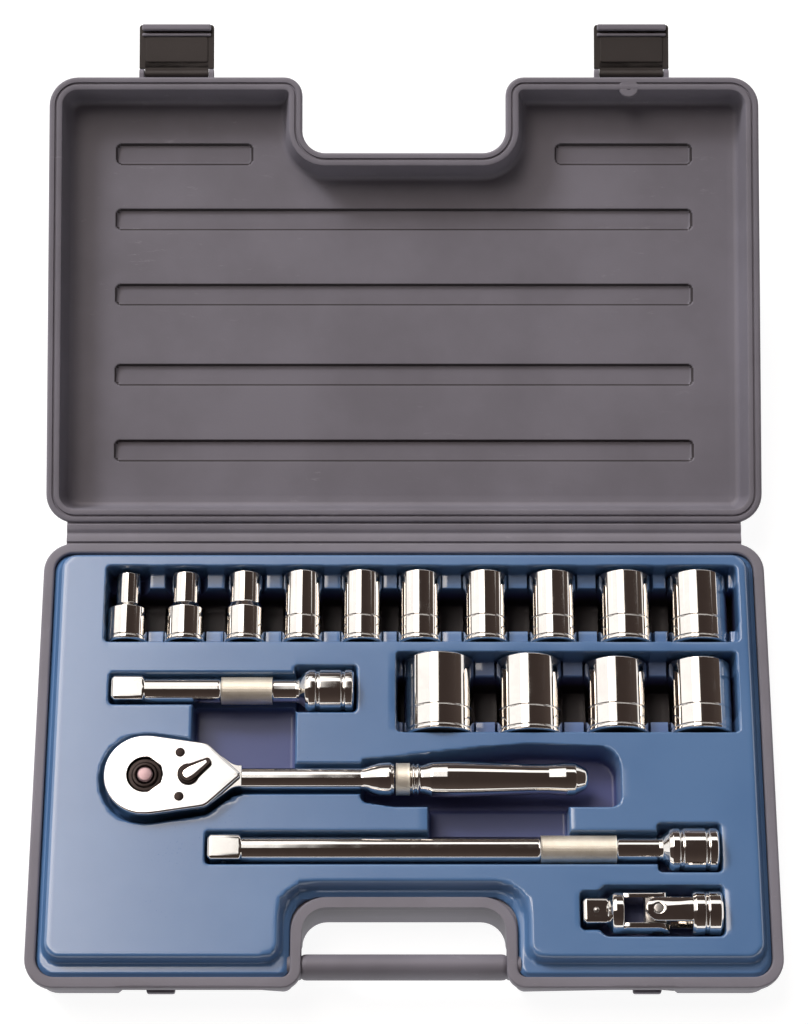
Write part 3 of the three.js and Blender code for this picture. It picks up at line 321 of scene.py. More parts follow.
def ruled(low, high, edges, coarse, fine_spans=(), fine=1.0):
    """Grid lines from low to high: a few close to each edge, evenly fine in some spans, coarse elsewhere."""
    lines = [low, high]
    for edge, way in edges:
        lines += [edge + way * s for s in EDGE_STEPS]
    for start, end in fine_spans:
        lines += list(np.arange(start, end, fine))
    lines = np.unique(np.round([v for v in lines if low <= v <= high], 3))
    kept = [lines[0]]
    for value in lines[1:]:
        if value - kept[-1] > 0.26:
            kept.append(value)
    kept[-1] = high
    filled = [
        np.linspace(a, b, max(1, math.ceil((b - a) / coarse)), endpoint=False) for a, b in zip(kept, kept[1:])
    ]
    return np.append(np.concatenate(filled), high)


def sheet(xs, ys, edge, above, below, groove_shade_cells=None):
    """A formed sheet over a grid: upper and under sides are height functions, and the rim follows an outline.

    Cells with a point inside the outline stay, and their points outside move onto it. Cells whose middle
    is picked by groove_shade_cells take the second finish, a painted shade.
    """
    x, y = np.meshgrid(xs, ys)
    step = 0.05
    away = outline_distance(x, y, edge)
    keep = (away[:-1, :-1] < 0) | (away[1:, :-1] < 0) | (away[:-1, 1:] < 0) | (away[1:, 1:] < 0)
    gx = (outline_distance(x + step, y, edge) - away) / step
    gy = (outline_distance(x, y + step, edge) - away) / step
    over = np.maximum(away, 0)
    x, y = x - over * gx, y - over * gy
    rows, columns = x.shape
    quads = quads_of(rows, columns, False, False).reshape(rows - 1, columns - 1, 4)[keep]
    count = rows * columns
    sides = np.concatenate([quads[:, [0, 1]], quads[:, [1, 2]], quads[:, [2, 3]], quads[:, [3, 0]]])
    forward = sides[:, 0] * count + sides[:, 1]
    backward = sides[:, 1] * count + sides[:, 0]
    rim = sides[~np.isin(forward, backward)]
    skirt = np.stack([rim[:, 0], rim[:, 0] + count, rim[:, 1] + count, rim[:, 1]], -1)
    faces = np.concatenate([quads, quads[:, ::-1] + count, skirt])
    points = np.concatenate([np.stack([x, y, f(x, y)], -1).reshape(-1, 3) for f in (above, below)])
    finish_index = np.zeros(len(faces), int)
    if groove_shade_cells is not None:
        middle = points[quads].mean(1)
        finish_index[: len(quads)] = groove_shade_cells(middle[:, 0], middle[:, 1])
    used, faces = np.unique(faces, return_inverse=True)
    return points[used], faces.reshape(-1, 4).tolist(), finish_index


def sunk(away, top, floor, draft=0.0):
    """Height of a recess: level outside its edge, then a rounded lip, a steep wall and a rounded foot."""
    inwards = np.array(EDGE_STEPS) + draft * np.array([0, 0, 0, 1, 1])
    return top - (top - floor) * np.interp(-away, inwards, EDGE_SHARES)


# ---- shader maths ---------------------------------------------------------------------------------
class Value:
    """A number that varies over a surface. Arithmetic on it adds Math nodes."""

    def __init__(self, paint, socket):
        self.paint = paint
        self.socket = socket

    def _with(self, operation, *others):
        inputs = dict(enumerate((self, *others)))
        return self.paint.value("ShaderNodeMath", {"operation": operation}, inputs)

    def __add__(self, other):
        return self._with("ADD", other)

    def __rsub__(self, other):
        return self * -1 + other

    def __mul__(self, other):
        return self._with("MULTIPLY", other)

    __radd__ = __add__
    __rmul__ = __mul__

    def ramp(self, low, high, at_low=0.0, at_high=1.0):
        """Runs from one value to another as this number goes from low to high."""
        settings = {"interpolation_type": "SMOOTHSTEP"}
        inputs = {0: self, 1: low, 2: high, 3: at_low, 4: at_high}
        return self.paint.value("ShaderNodeMapRange", settings, inputs)


class Paint:
    """The nodes of one finish, on Object coordinates."""

    def __init__(self, tree):
        self.tree = tree
        tree.nodes.clear()

    def node(self, kind, settings=None, inputs=None):
        made = self.tree.nodes.new(kind)
        for name, setting in (settings or {}).items():
            setattr(made, name, setting)
        for name, value in (inputs or {}).items():
            if isinstance(value, Value):
                value = value.socket
            if isinstance(value, bpy.types.NodeSocket):
                self.tree.links.new(value, made.inputs[name])
            else:
                made.inputs[name].default_value = value
        return made

    def value(self, kind, settings=None, inputs=None, output=0):
        return Value(self, self.node(kind, settings, inputs).outputs[output])

    def place(self, scale=(1, 1, 1), turn=(0, 0, 0)):
        """Object coordinates, stretched and turned."""
        where = self.node("ShaderNodeTexCoord").outputs["Object"]
        mapping = {"Vector": where, "Scale": scale, "Rotation": turn}
        return self.node("ShaderNodeMapping", {}, mapping).outputs[0]

    def noise(self, scale, detail=3.0, rough=0.5, stretch=(1, 1, 1), turn=(0, 0, 0)):
        inputs = {"Vector": self.place(stretch, turn), "Scale": scale, "Detail": detail, "Roughness": rough}
        return self.value("ShaderNodeTexNoise", {}, inputs)

    def cells(self, scale, stretch=(1, 1, 1)):
        return self.value("ShaderNodeTexVoronoi", {}, {"Vector": self.place(stretch), "Scale": scale})

    def blend(self, factor, first, second):
        """A colour between two others."""
        inputs = {0: factor, 6: first, 7: second}
        return self.node("ShaderNodeMix", {"data_type": "RGBA"}, inputs).outputs[2]

    def bump(self, height, distance, strength=1.0, normal=None):
        inputs = {"Height": height, "Distance": distance, "Strength": strength}
        if normal is not None:
            inputs["Normal"] = normal
        return self.node("ShaderNodeBump", {}, inputs).outputs[0]

    def surface(self, **sockets):
        """Ends the finish in one Principled shader; underscores in names stand for spaces."""
        named = {name.replace("_", " "): value for name, value in sockets.items()}
        shader = self.node("ShaderNodeBsdfPrincipled", {}, named)
        self.node("ShaderNodeOutputMaterial", {}, {"Surface": shader.outputs[0]})


def finish(name):
    """A new material and the tool that fills it."""
    material = bpy.data.materials.new(name)
    material.use_nodes = True
    return material, Paint(material.node_tree)


def colour(red, green, blue):
    return (red, green, blue, 1.0)


# ---- finishes -------------------------------------------------------------------------------------
def moulded_plastic(name, dark, light, scuff):
    """Satin moulded plastic: fine pebble grain, cloudy tone, faint scuffs and a worn sheen."""
    material, paint = finish(name)
    cloud = paint.noise(14, 4, 0.6)
    grain = paint.noise(1700, 2, 0.6)
    pebble = paint.cells(900)
    scuffs = paint.noise(60, 6, 0.75, (1, 5, 1)).ramp(0.60, 0.74)
    tone = paint.blend(cloud.ramp(0.3, 0.7), dark, light)
    worn = paint.blend(scuffs * paint.noise(9).ramp(0.45, 0.65) * 0.5, tone, scuff)
    rough = 0.5 + cloud * 0.12 + grain * 0.06
    lumps = paint.bump(grain * 0.6 + pebble * 0.4, 0.00005, 0.8)
    paint.surface(Base_Color=worn, Roughness=rough, Normal=lumps)
    return material


def formed_plastic():
    """Glossy vacuum-formed sheet: deep blue, a slightly paler bloom, and faint flow ripples.

    Low down, in the recesses, its colour is painted darker, first violet, then brown, as painted shade; there
    it also loses gloss.
    """
    material, paint = finish("tray_blue_plastic")
    cloud = paint.noise(11, 4, 0.55)
    fine = paint.noise(900, 2, 0.5)
    height = paint.value("ShaderNodeSeparateXYZ", {}, {0: paint.place()}, 2)
    shallow = height.ramp(0.0165, 0.0285)
    # Painted shade: below the top the colour goes dark violet, then brown, deep in the recesses.
    deep = height.ramp(0.019, 0.010)
    tone = paint.blend(cloud.ramp(0.3, 0.7), colour(0.060, 0.142, 0.31), colour(0.080, 0.172, 0.35))
    # The painted shade colours of the recesses.
    drawn = paint.blend(deep, colour(0.050, 0.052, 0.155), colour(0.022, 0.016, 0.020))
    shaded_tone = paint.blend(shallow, drawn, tone)
    dust = paint.noise(420, 5, 0.8).ramp(0.66, 0.8) * 0.12
    dusty = paint.blend(dust * shallow, shaded_tone, colour(0.55, 0.58, 0.72))
    rough = 0.24 + cloud * 0.06 + fine * 0.04 + (1 - shallow) * 0.3
    ripples = paint.bump(paint.noise(38, 2, 0.5), 0.0004, 0.35)
    skin_bump = paint.bump(fine, 0.00003, 0.6, ripples)
    gloss = {"Coat_Weight": 0.1 + shallow * 0.9, "Coat_Roughness": 0.16, "Coat_IOR": 1.6}
    paint.surface(Base_Color=dusty, Roughness=rough, Normal=skin_bump, **gloss)
    return material


def chrome(name, tint, rough_low, rough_high, wave):
    """Bright plate: a warm mirror with faint drawing lines, soft waviness and thin smudges."""
    material, paint = finish(name)
    smudge = paint.noise(55, 5, 0.65)
    lines = paint.noise(900, 3, 0.7, (1, 0.04, 1))
    tone = paint.blend(smudge.ramp(0.35, 0.7), tint, colour(*(0.9 * c for c in tint[:3])))
    rough = rough_low + smudge.ramp(0.45, 0.75) * (rough_high - rough_low) + lines * 0.02
    swell = paint.bump(paint.noise(70, 1, 0.4), 0.00012, wave)
    paint.surface(Base_Color=tone, Metallic=1.0, Roughness=rough, Normal=swell)
    return material


def satin_steel(name, dark, light, rough, scale=1500):
    """Steel with a fine blasted grain and slight staining."""
    material, paint = finish(name)
    stain = paint.noise(90, 5, 0.7)
    grain = paint.noise(scale, 2, 0.6)
    tone = paint.blend(stain.ramp(0.3, 0.7), dark, light)
    blasted = paint.bump(grain, 0.00004, 0.8)
    paint.surface(Base_Color=tone, Metallic=1.0, Roughness=rough + stain * 0.12, Normal=blasted)
    return material


CASE_PLASTIC = moulded_plastic(
    "case_grey_plastic", colour(0.148, 0.139, 0.166), colour(0.182, 0.172, 0.206), colour(0.34, 0.33, 0.36)
)
# Near-black copy of the case plastic: painted shade on the walls of the lid's grooves.
GROOVE_SHADE = moulded_plastic(
    "case_groove_painted_shade", colour(0.030, 0.025, 0.029), colour(0.042, 0.036, 0.041), colour(0.08, 0.08, 0.08)
)
# Near-black plastic: painted shade on the latch flap, tongue and barrel; its hook and bar keep the case grey.
LATCH_SHADE_PLASTIC = moulded_plastic(
    "latch_painted_shade_plastic", colour(0.022, 0.017, 0.016), colour(0.034, 0.027, 0.026), colour(0.10, 0.09, 0.09)
)
TRAY_PLASTIC = formed_plastic()
CHROME = chrome("socket_chrome", colour(0.86, 0.83, 0.79), 0.04, 0.12, 0.35)
POLISHED = chrome("head_polished_plate", colour(0.93, 0.92, 0.92), 0.10, 0.22, 0.25)
KNURL = satin_steel("knurl_satin_plate", colour(0.86, 0.80, 0.69), colour(0.96, 0.91, 0.81), 0.5)
DARK_STEEL = satin_steel("dark_ground_steel", colour(0.022, 0.016, 0.015), colour(0.042, 0.034, 0.033), 0.3)
STEEL = satin_steel("ground_steel", colour(0.38, 0.37, 0.36), colour(0.52, 0.50, 0.48), 0.25)
BUTTON = satin_steel("button_satin_cap", colour(0.40, 0.27, 0.29), colour(0.52, 0.38, 0.40), 0.42)
# Darkened metal for the insides of bores: painted shade in the holes.
BORE = satin_steel("bore_painted_shade", colour(0.16, 0.14, 0.13), colour(0.26, 0.23, 0.21), 0.35)


# ---- the case -------------------------------------------------------------------------------------
def rim_corners(notch_half):
    notch_back = -HALF_Y + NOTCH_DEPTH
    outer = NOTCH_RADIUS * 0.8
    return notched(HALF_X, -HALF_Y, HALF_Y, CORNER_RADIUS, notch_half, notch_back, NOTCH_RADIUS, outer)


def outside_levels(height):
    """Outside of a shell from flat face to rim: rounded foot, drafted wall, flared band and rounded rim."""
    band = height - RIM_LIP
    return [
        (0, DRAFT + 4.5),
        (0.35, DRAFT + 3),
        (1.6, DRAFT + 1.6),
        (3.6, DRAFT + 0.6),
        (6, DRAFT),
        (band - 1.7, 2.8),
        (band - 1.1, 2.2),
        (band - 0.5, 0.8),
        (band, 0.15),
        (band + 0.5, 0),
        (height - 1.5, 0),
        (height - 0.7, 0.2),
        (height - 0.25, 0.65),
        (height, 1.4),
    ]


def base_corners():
    """The base's outline with extra corners where its wall changes lean, and each corner's lean.

    The wall is steeper round the front corners and beside the cut-out, and nearly upright behind the handle.
    """
    front, notch_back = -HALF_Y, -HALF_Y + NOTCH_DEPTH
    side_end = front + 30
    return zip(*[
        ((-HALF_X, side_end, 1), 1),
        ((-HALF_X, front, CORNER_RADIUS), 0.5),
        ((-141, front, 1), 0.5),
        ((-136, front, 1), 1),
        ((-74, front, 1), 1),
        ((-70, front, 1), 0.7),
        ((-NOTCH_HALF, front, NOTCH_RADIUS * 0.8), 0.6),
        ((-NOTCH_HALF, notch_back, NOTCH_RADIUS), 0.05),
        ((NOTCH_HALF, notch_back, NOTCH_RADIUS), 0.05),
        ((NOTCH_HALF, front, NOTCH_RADIUS * 0.8), 0.6),
        ((100, front, 1), 0.7),
        ((104, front, 1), 1),
        ((130, front, 1), 1),
        ((135, front, 1), 0.5),
        ((HALF_X, front, CORNER_RADIUS), 0.5),
        ((HALF_X, side_end, 1), 1),
        ((HALF_X, HALF_Y, CORNER_RADIUS), 1),
        ((-HALF_X, HALF_Y, CORNER_RADIUS), 1),
    ])


def base_shell():
    """The tub, its handle bar and the catches for the latches."""
    corners, lean = base_corners()
    inside = [
        (RIM, RIM_WIDTH - 1.0),
        (RIM - 0.2, RIM_WIDTH - 0.4),
        (RIM - 0.7, RIM_WIDTH),
        (SEAT + 0.05, RIM_WIDTH),
        (SEAT, RIM_WIDTH + 0.1),
        (SEAT, RIM_WIDTH + 3.4),
        (SEAT - 3, RIM_WIDTH + 3.5),
        (SEAT - 8, DRAFT + WALL),
        (6, DRAFT + WALL),
        (2, DRAFT + WALL + 3),
    ]
    tub = np.concatenate([loft(corners, outside_levels(RIM), lean=lean), loft(corners, inside)])
    parts = [skin(tub), skin(handle_bar()), skin(catch(-1)), skin(catch(1))]
    make("case_base", parts, [CASE_PLASTIC], "case", ["base_shell"])


def handle_bar():
    """The bar of the handle: an oval carried along X, drawn in to a shallow groove near each end."""
    x = np.array([-57, -52.4, -50.9, -50, -49.1, -47.6, -30, 0, 30, 47.6, 49.1, 50, 50.9, 52.4, 57.0])
    scale = np.array([1, 1, 0.97, 0.88, 0.97, 1, 1, 1, 1, 1, 0.97, 0.88, 0.97, 1, 1])
    across = 6.2 * scale[:, None] * np.cos(ANGLE[::2])
    upright = 8.5 * scale[:, None] * np.sin(ANGLE[::2])
    along = np.broadcast_to(x[:, None], across.shape)
    return np.stack([along, across - HALF_Y + 6.1 + 6.2, upright + RIM - 0.5 - 8.5], -1)


def catch(side):
    """A small rounded bump that a latch hooks under."""
    latch = box_of("latch_right")
    x = side * (latch[0][0] + latch[1][0]) / 2
    corners = rectangle(x - 7, x + 7, -HALF_Y + 0.8, -HALF_Y + 7, 1.2)
    return loft(corners, [(13.1, 0.4), (13.5, 0), (16, 0), (16.5, 0.5)], 4)


def across_hinge(corners):
    """Corners drawn on the base, swung over the hinge line to where the lid lies flat open."""
    return [(-x, 2 * HINGE_Y - y, radius) for x, y, radius in corners]


def tilted(part):
    """Lifts a part drawn lying flat open about the hinge line, to where the lid stands."""
    points, faces, finish_index = part
    y, z = points[:, 1] - HINGE_Y, points[:, 2] - RIM
    c, s = math.cos(LID_TILT), math.sin(LID_TILT)
    points = np.stack([points[:, 0], HINGE_Y + y * c - z * s, RIM + y * s + z * c], -1)
    return points, faces, finish_index


def groove_boxes():
    """The six pressed grooves in the lid's floor: two short ones near the front edge and four long ones."""
    side, short = HALF_X - 33.5, HALF_X - 105.5
    spans = [(-side, -short, 201.0), (short, side, 201.0)]
    spans += [(-side, side, distance) for distance in (166.3, 126.5, 84.2, 44.3)]
    return [(x0, x1, HINGE_Y + d - 5.6, HINGE_Y + d + 5.6) for x0, x1, d in spans]


def lid_shell():
    """The lid: shell, floor panel with pressed grooves, and the small pierced boss by the right latch."""
    corners = across_hinge(rim_corners(NOTCH_HALF + LID_NOTCH_EXTRA))
    roof = LID_RIM - LID_HEIGHT
    floor = roof + WALL
    inside = [
        (LID_HEIGHT - 0.1, LID_RIM_WIDTH - 4.2),
        (LID_HEIGHT - 0.9, LID_RIM_WIDTH - 3.8),
        (LID_HEIGHT - 0.9, LID_RIM_WIDTH - 3.2),
        (LID_HEIGHT - 0.1, LID_RIM_WIDTH - 2.8),
        (LID_HEIGHT, LID_RIM_WIDTH - 2.3),
        (LID_HEIGHT, LID_RIM_WIDTH - 0.9),
        (LID_HEIGHT - 0.25, LID_RIM_WIDTH - 0.3),
        (LID_HEIGHT - 0.9, LID_RIM_WIDTH),
        (WALL + 3.4, LID_RIM_WIDTH + 2.2),
        (WALL + 1.5, LID_RIM_WIDTH + 2.8),
        (WALL + 0.4, LID_RIM_WIDTH + 3.9),
        (WALL, LID_RIM_WIDTH + 5.2),
        (WALL, DRAFT + WALL + 7),
        (WALL - 2.3, DRAFT + WALL + 7.2),
    ]
    levels = [(z + roof, inset) for z, inset in outside_levels(LID_HEIGHT) + inside]
    grooves = groove_boxes()

    def groove_distance(x, y):
        return np.min([box_distance(x, y, x0, x1, y0, y1, 3.4) for x0, x1, y0, y1 in grooves], axis=0)

    def above(x, y):
        wall = np.interp(-groove_distance(x, y), [-0.35, 0.0, 0.7, 1.1], [0, 0.12, 0.92, 1])
        return floor + 0.03 - GROOVE_DEPTH * wall

    def below(x, y):
        return np.full(x.shape, floor - 2.2)

    # Cells on the groove walls, which take the painted shade.
    def groove_shade_cells(x, y):
        return np.abs(groove_distance(x, y) + 0.3) < 0.42

    edge = outline(corners, DRAFT + WALL + 6.2)
    ends = [(x, way) for x0, x1, _, _ in grooves for x, way in ((x0, 1), (x1, -1))]
    sides = [(y, way) for _, _, y0, y1 in grooves for y, way in ((y0, 1), (y1, -1))]
    low, high = edge.min(0), edge.max(0)
    curves = [(x0, x0 + 4) for x0, _, _, _ in grooves] + [(x1 - 4, x1 + 0.1) for _, x1, _, _ in grooves]
    notch = [(-NOTCH_HALF - 28, -NOTCH_HALF - 6), (NOTCH_HALF + 6, NOTCH_HALF + 28)]
    xs = ruled(low[0], high[0], ends, 6, curves, 0.6)
    xs = np.unique(np.concatenate([xs, ruled(low[0], high[0], [], 6, notch, 1.5)]))
    ys = ruled(low[1], high[1], sides, 5, [(LID_FRONT - 66, LID_FRONT - 40)], 1.5)
    panel = sheet(xs, ys, edge, above, below, groove_shade_cells)
    boss_x = box_of("latch_right")
    boss_x = (boss_x[0][0] + boss_x[1][0]) / 2 - 1.7
    boss_profile = [(RIM - 3.3, 5.2), (RIM - 0.9, 5.2), (RIM - 0.4, 4.6), (RIM - 0.4, 1.4)]
    boss_rows = rounds(eased(boss_profile, 0.3)) + rounds([(RIM - 3.3, 1.3)])
    boss = turned(boss_rows, "z", (boss_x, LID_FRONT - 5.6, 0))
    parts = [skin(loft(corners, levels)), panel, skin(boss, closed=True)]
    for side in (-1, 1):
        parts += [skin(ear) for ear in latch_ears(side)]
    make("case_lid", [tilted(p) for p in parts], [CASE_PLASTIC, GROOVE_SHADE], "lid", ["lid_shell"])


def latch_axis():
    """Where the latches turn, drawn with the lid lying flat."""
    return LID_FRONT + LATCH_AXIS_OUT, RIM - LATCH_AXIS_DROP


def latch_ears(side):
    """The two ears that carry a latch: discs with a square root in the lid's front wall."""
    low, high = box_of("latch_left" if side < 0 else "latch_right")
    y, z = latch_axis()
    ears = []
    for x0 in (low[0], high[0] - 2.6):
        corners = [
            (y - 5, z - 2.6, 0.2),
            (y, z - 2.6, 2.5),
            (y + 2.6, z - 2.6, 2.5),
            (y + 2.6, z + 2.6, 2.5),
            (y, z + 2.6, 0.4),
            (y - 5, z + 2.6, 0.2),
        ]
        ring = loft(corners, [(x0, 0.3), (x0 + 0.3, 0), (x0 + 2.3, 0), (x0 + 2.6, 0.3)], 5)
        ears.append(ring[:, :, [2, 0, 1]])
    return ears


def hinge_strip():
    """The moulded living hinge: a strip across the gap, thin along the hinge line, bent with the lid."""
    u = np.array([-8.5, -4.9, -4.5, -4.2, -2.4, -1.5, -0.8, -0.3, 0, 0.3, 0.8, 1.5, 2.4, 4.2, 4.5, 4.9, 8.5])
    thin = np.interp(np.abs(u), [0, 0.4, 1.6, 4.2, 4.5, 4.9, 9], [0.45, 0.4, 0, 0, 0.2, 1.0, 1.0])
    turn = LID_TILT * np.interp(u, [-1.5, 1.5], [0, 1])
    loop = []
    for z in (-0.45 - thin, -2.6 + np.minimum(thin, 0.8)):
        along = HINGE_Y + u * np.cos(turn) - z * np.sin(turn)
        upright = RIM + u * np.sin(turn) + z * np.cos(turn)
        loop.append(np.stack([along, upright], -1))
    ring = np.concatenate([loop[0], loop[1][::-1]])
    xs = np.concatenate([[-174], np.linspace(-173.2, 173.2, 30), [174]])
    shrink = np.where(np.abs(xs) > 173.5, 0.96, 1.0)
    middle = ring.mean(0)
    yz = middle + (ring - middle)[None] * shrink[:, None, None]
    grid = np.concatenate([np.broadcast_to(xs[:, None, None], yz.shape[:2] + (1,)), yz], -1)
    strip = make("case_hinge_strip", [skin(grid)], [CASE_PLASTIC], None, [])
    start = (0, (HINGE_Y - 1.5) * MM, (RIM - 1) * MM)
    end = (0, (HINGE_Y + 1.5) * MM, (RIM - 1) * MM)
    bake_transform(strip)


def latch(side):
    """A latch lying out from the lid: barrel, flap with a raised rim round it, and a double hook bar."""
    name = "latch_left" if side < 0 else "latch_right"
    low, high = box_of(name)
    x0, x1 = low[0], high[0]
    y, z = latch_axis()
    corners = [(x0, y + 2.8, 0.4), (x1, y + 2.8, 0.4), (x1, y + 26, 1.6), (x0, y + 26, 1.6)]
    flap = loft(corners, [(z - 1.1, 0.4), (z - 0.8, 0), (z + 0.8, 0), (z + 1.1, 0.4)], 5)
    panel_edge = rectangle(x0 + 3, x1 - 3, y + 6, y + 19.5, 1.2)
    panel = loft(panel_edge, [(z, 0), (z + 1.15, 0), (z + 1.5, 0.3), (z + 1.6, 0.9)], 4)
    hook_edge = rectangle(x0 + 1.5, x1 - 1.5, y + 22.6, y + 25.8, 0.9)
    hook = loft(hook_edge, [(z, 0), (z + 3.2, 0), (z + 3.7, 0.3), (z + 3.9, 0.9)], 4)
    bar_edge = rectangle(x0 + 1.5, x1 - 1.5, y + 19.8, y + 21.4, 0.6)
    bar = loft(bar_edge, [(z, 0), (z + 1.8, 0), (z + 2.2, 0.4)], 4)
    neck = (x1 - x0) / 2 - 2.9
    middle = (x0 + x1) / 2
    tongue_edge = rectangle(middle - neck, middle + neck, y - 0.5, y + 6, 0.3)
    tongue = loft(tongue_edge, [(z - 1.1, 0), (z + 1.1, 0)], 2)
    profile = rounds(eased([(-neck, 0.2), (-neck, 2.2), (neck, 2.2), (neck, 0.2)], 0.3))
    barrel = turned(profile, "x", (middle, y, z))
    parts = [skin(flap), skin(panel), skin(hook, 1), skin(bar, 1), skin(tongue), skin(barrel)]
    # Flap, tongue and barrel take the painted shade; the hook and bar take the case grey.
    finishes = [LATCH_SHADE_PLASTIC, CASE_PLASTIC]
    make(name.replace("latch", "latch_flap"), [tilted(p) for p in parts], finishes, name, [name])


# ---- the tray -------------------------------------------------------------------------------------
def socket_place(size):
    """Middle of a socket, its outer radius and its length."""
    low, high = box_of(socket_name(size))
    return (low + high) / 2, (high[0] - low[0]) / 2, high[1] - low[1]


def row_box(sizes, room):
    """The recess of a row of sockets, seen from above."""
    boxes = [box_of(socket_name(size)) for size in sizes]
    left, right, ends = room
    y0 = min(low[1] for low, _ in boxes) - ends
    y1 = max(high[1] for _, high in boxes) + ends
    return boxes[0][0][0] - left, boxes[-1][1][0] + right, y0, y1


def row_rest(y0, y1):
    """How far the saddles under the sockets' ends reach in from each side of a row."""
    return (y1 - y0) * 0.22


def head_corners(grow=0.0, pointed=False):
    """Corners of the ratchet's head, a teardrop about the drive axis that ends in the shank or a point."""
    axis_x, axis_y = drive_axis()
    low, _ = box_of("ratchet_cover_plate")
    r = axis_x - low[0] + grow
    neck = 5.6 + grow
    half = [(-r, r - 0.3), (3, 30), (30.5, 7)]
    across = [r, r, r * 0.8]
    if pointed:
        half, across = half + [(47, 0.5)], across + [1.0]
    else:
        half, across = half + [(44, 8), (48, 0.3)], across + [neck, neck]
    lower = [(x + axis_x, axis_y - a, radius) for (x, radius), a in zip(half, across)]
    upper = [(x + axis_x, axis_y + a, radius) for (x, radius), a in zip(half, across)]
    return lower + upper[::-1]


def drive_axis():
    low, high = box_of("ratchet_release_button")
    return (low[0] + high[0]) / 2, (low[1] + high[1]) / 2


def extension_recess(name):
    """Two boxes with floors: a narrow run for the shank and a wide end for the socket."""
    low, high = box_of(name)
    y, z = (low[1] + high[1]) / 2, (low[2] + high[2]) / 2
    split = high[0] - 30
    return [
        ((low[0] - 1.2, split + 3, y - 8.4, y + 8.4), z - 7.4),
        ((split, high[0] + 1.4, y - 12.4, y + 12.4), z - 10.8 - FIT),
    ]


def boxed_recesses():
    """Every straight-sided recess as its box from above and the height of its floor."""
    axis_x, axis_y = drive_axis()
    grip_end = box_of("ratchet_grip")[1][0]
    short_x = box_of("extension_short_bar")[0][0] + 41
    short_y = (box_of("extension_short_bar")[0][1] + box_of("extension_short_bar")[1][1]) / 2
    long_y = (box_of("extension_long_bar")[0][1] + box_of("extension_long_bar")[1][1]) / 2
    grip_x = grip_end - 219.6 + 140.1
    found = extension_recess("extension_short_bar") + extension_recess("extension_long_bar")
    found += [
        ((axis_x - 11, axis_x + 11, axis_y - 11, axis_y + 11), TOP - 22.2),
        ((axis_x + 38, axis_x + 111.6, axis_y - 8, axis_y + 8), TOP - 7.5),
        ((short_x, short_x + 52, axis_y + 4, short_y - 6), TOP - FINGER_HOLLOW),
        ((grip_x, grip_x + 70, long_y + 4, axis_y - 10), TOP - FINGER_HOLLOW),
    ]
    return found


def grip_corners():
    """The roomy recess round the grip: straight on one side, arched on the other."""
    axis_x, axis_y = drive_axis()
    start, end = axis_x + 106.6, box_of("ratchet_grip")[1][0] + 16.5
    return [
        (start, axis_y - 11.8, 4),
        (start + 17, axis_y - 14.5, 6),
        (end, axis_y - 14.5, 6),
        (end, axis_y + 16, 12),
        (end - 46, axis_y + 18, 60),
        (start + 21, axis_y + 11.3, 6),
        (start, axis_y + 9.8, 4),
    ]


def joint_corners():
    """The recess of the universal joint: narrow at its square end, with slanting shoulders."""
    low, _ = box_of("universal_joint_square_yoke")
    _, high = box_of("universal_joint_socket_yoke")
    y = (low[1] + box_of("universal_joint_square_yoke")[1][1]) / 2
    narrow, wide = 9.25, 12.7
    x = [low[0] - 1.3, low[0] + 8, low[0] + 8 + wide - narrow, high[0] + 1]
    return [
        (x[0], y - narrow, 2.5),
        (x[1], y - narrow, 2),
        (x[2], y - wide, 2),
        (x[3], y - wide, 3),
        (x[3], y + wide, 3),
        (x[2], y + wide, 2),
        (x[1], y + narrow, 2),
        (x[0], y + narrow, 2.5),
    ]


def tray_edge():
    """The sheet's rim, just inside the base's."""
    away = RIM_WIDTH + 0.3
    x, front, back = HALF_X - away, -HALF_Y + away, HALF_Y - away
    notch_half, notch_back = NOTCH_HALF + away, -HALF_Y + NOTCH_DEPTH + away
    return notched(x, front, back, CORNER_RADIUS - RIM_WIDTH, notch_half, notch_back, 14, 5)


def plateau_corners():
    """The edge of the raised top."""
    notch_half, notch_back = NOTCH_HALF + 11.8, -HALF_Y + NOTCH_DEPTH + 11.8
    return notched(HALF_X - 10.7, -HALF_Y + 14.5, HALF_Y - 9.2, 7, notch_half, notch_back, 17, 7)


def cradle(x, place, radius, grow):
    """Height of the trough that a socket lies in: the lower half of a circle, with straight sides above."""
    reach = radius + FIT + grow
    away = np.abs(x - place[0])
    bowl = place[2] - np.sqrt(np.maximum(reach**2 - away**2, 0))
    return np.where(away < reach, bowl, place[2] + (away - reach) * 12)


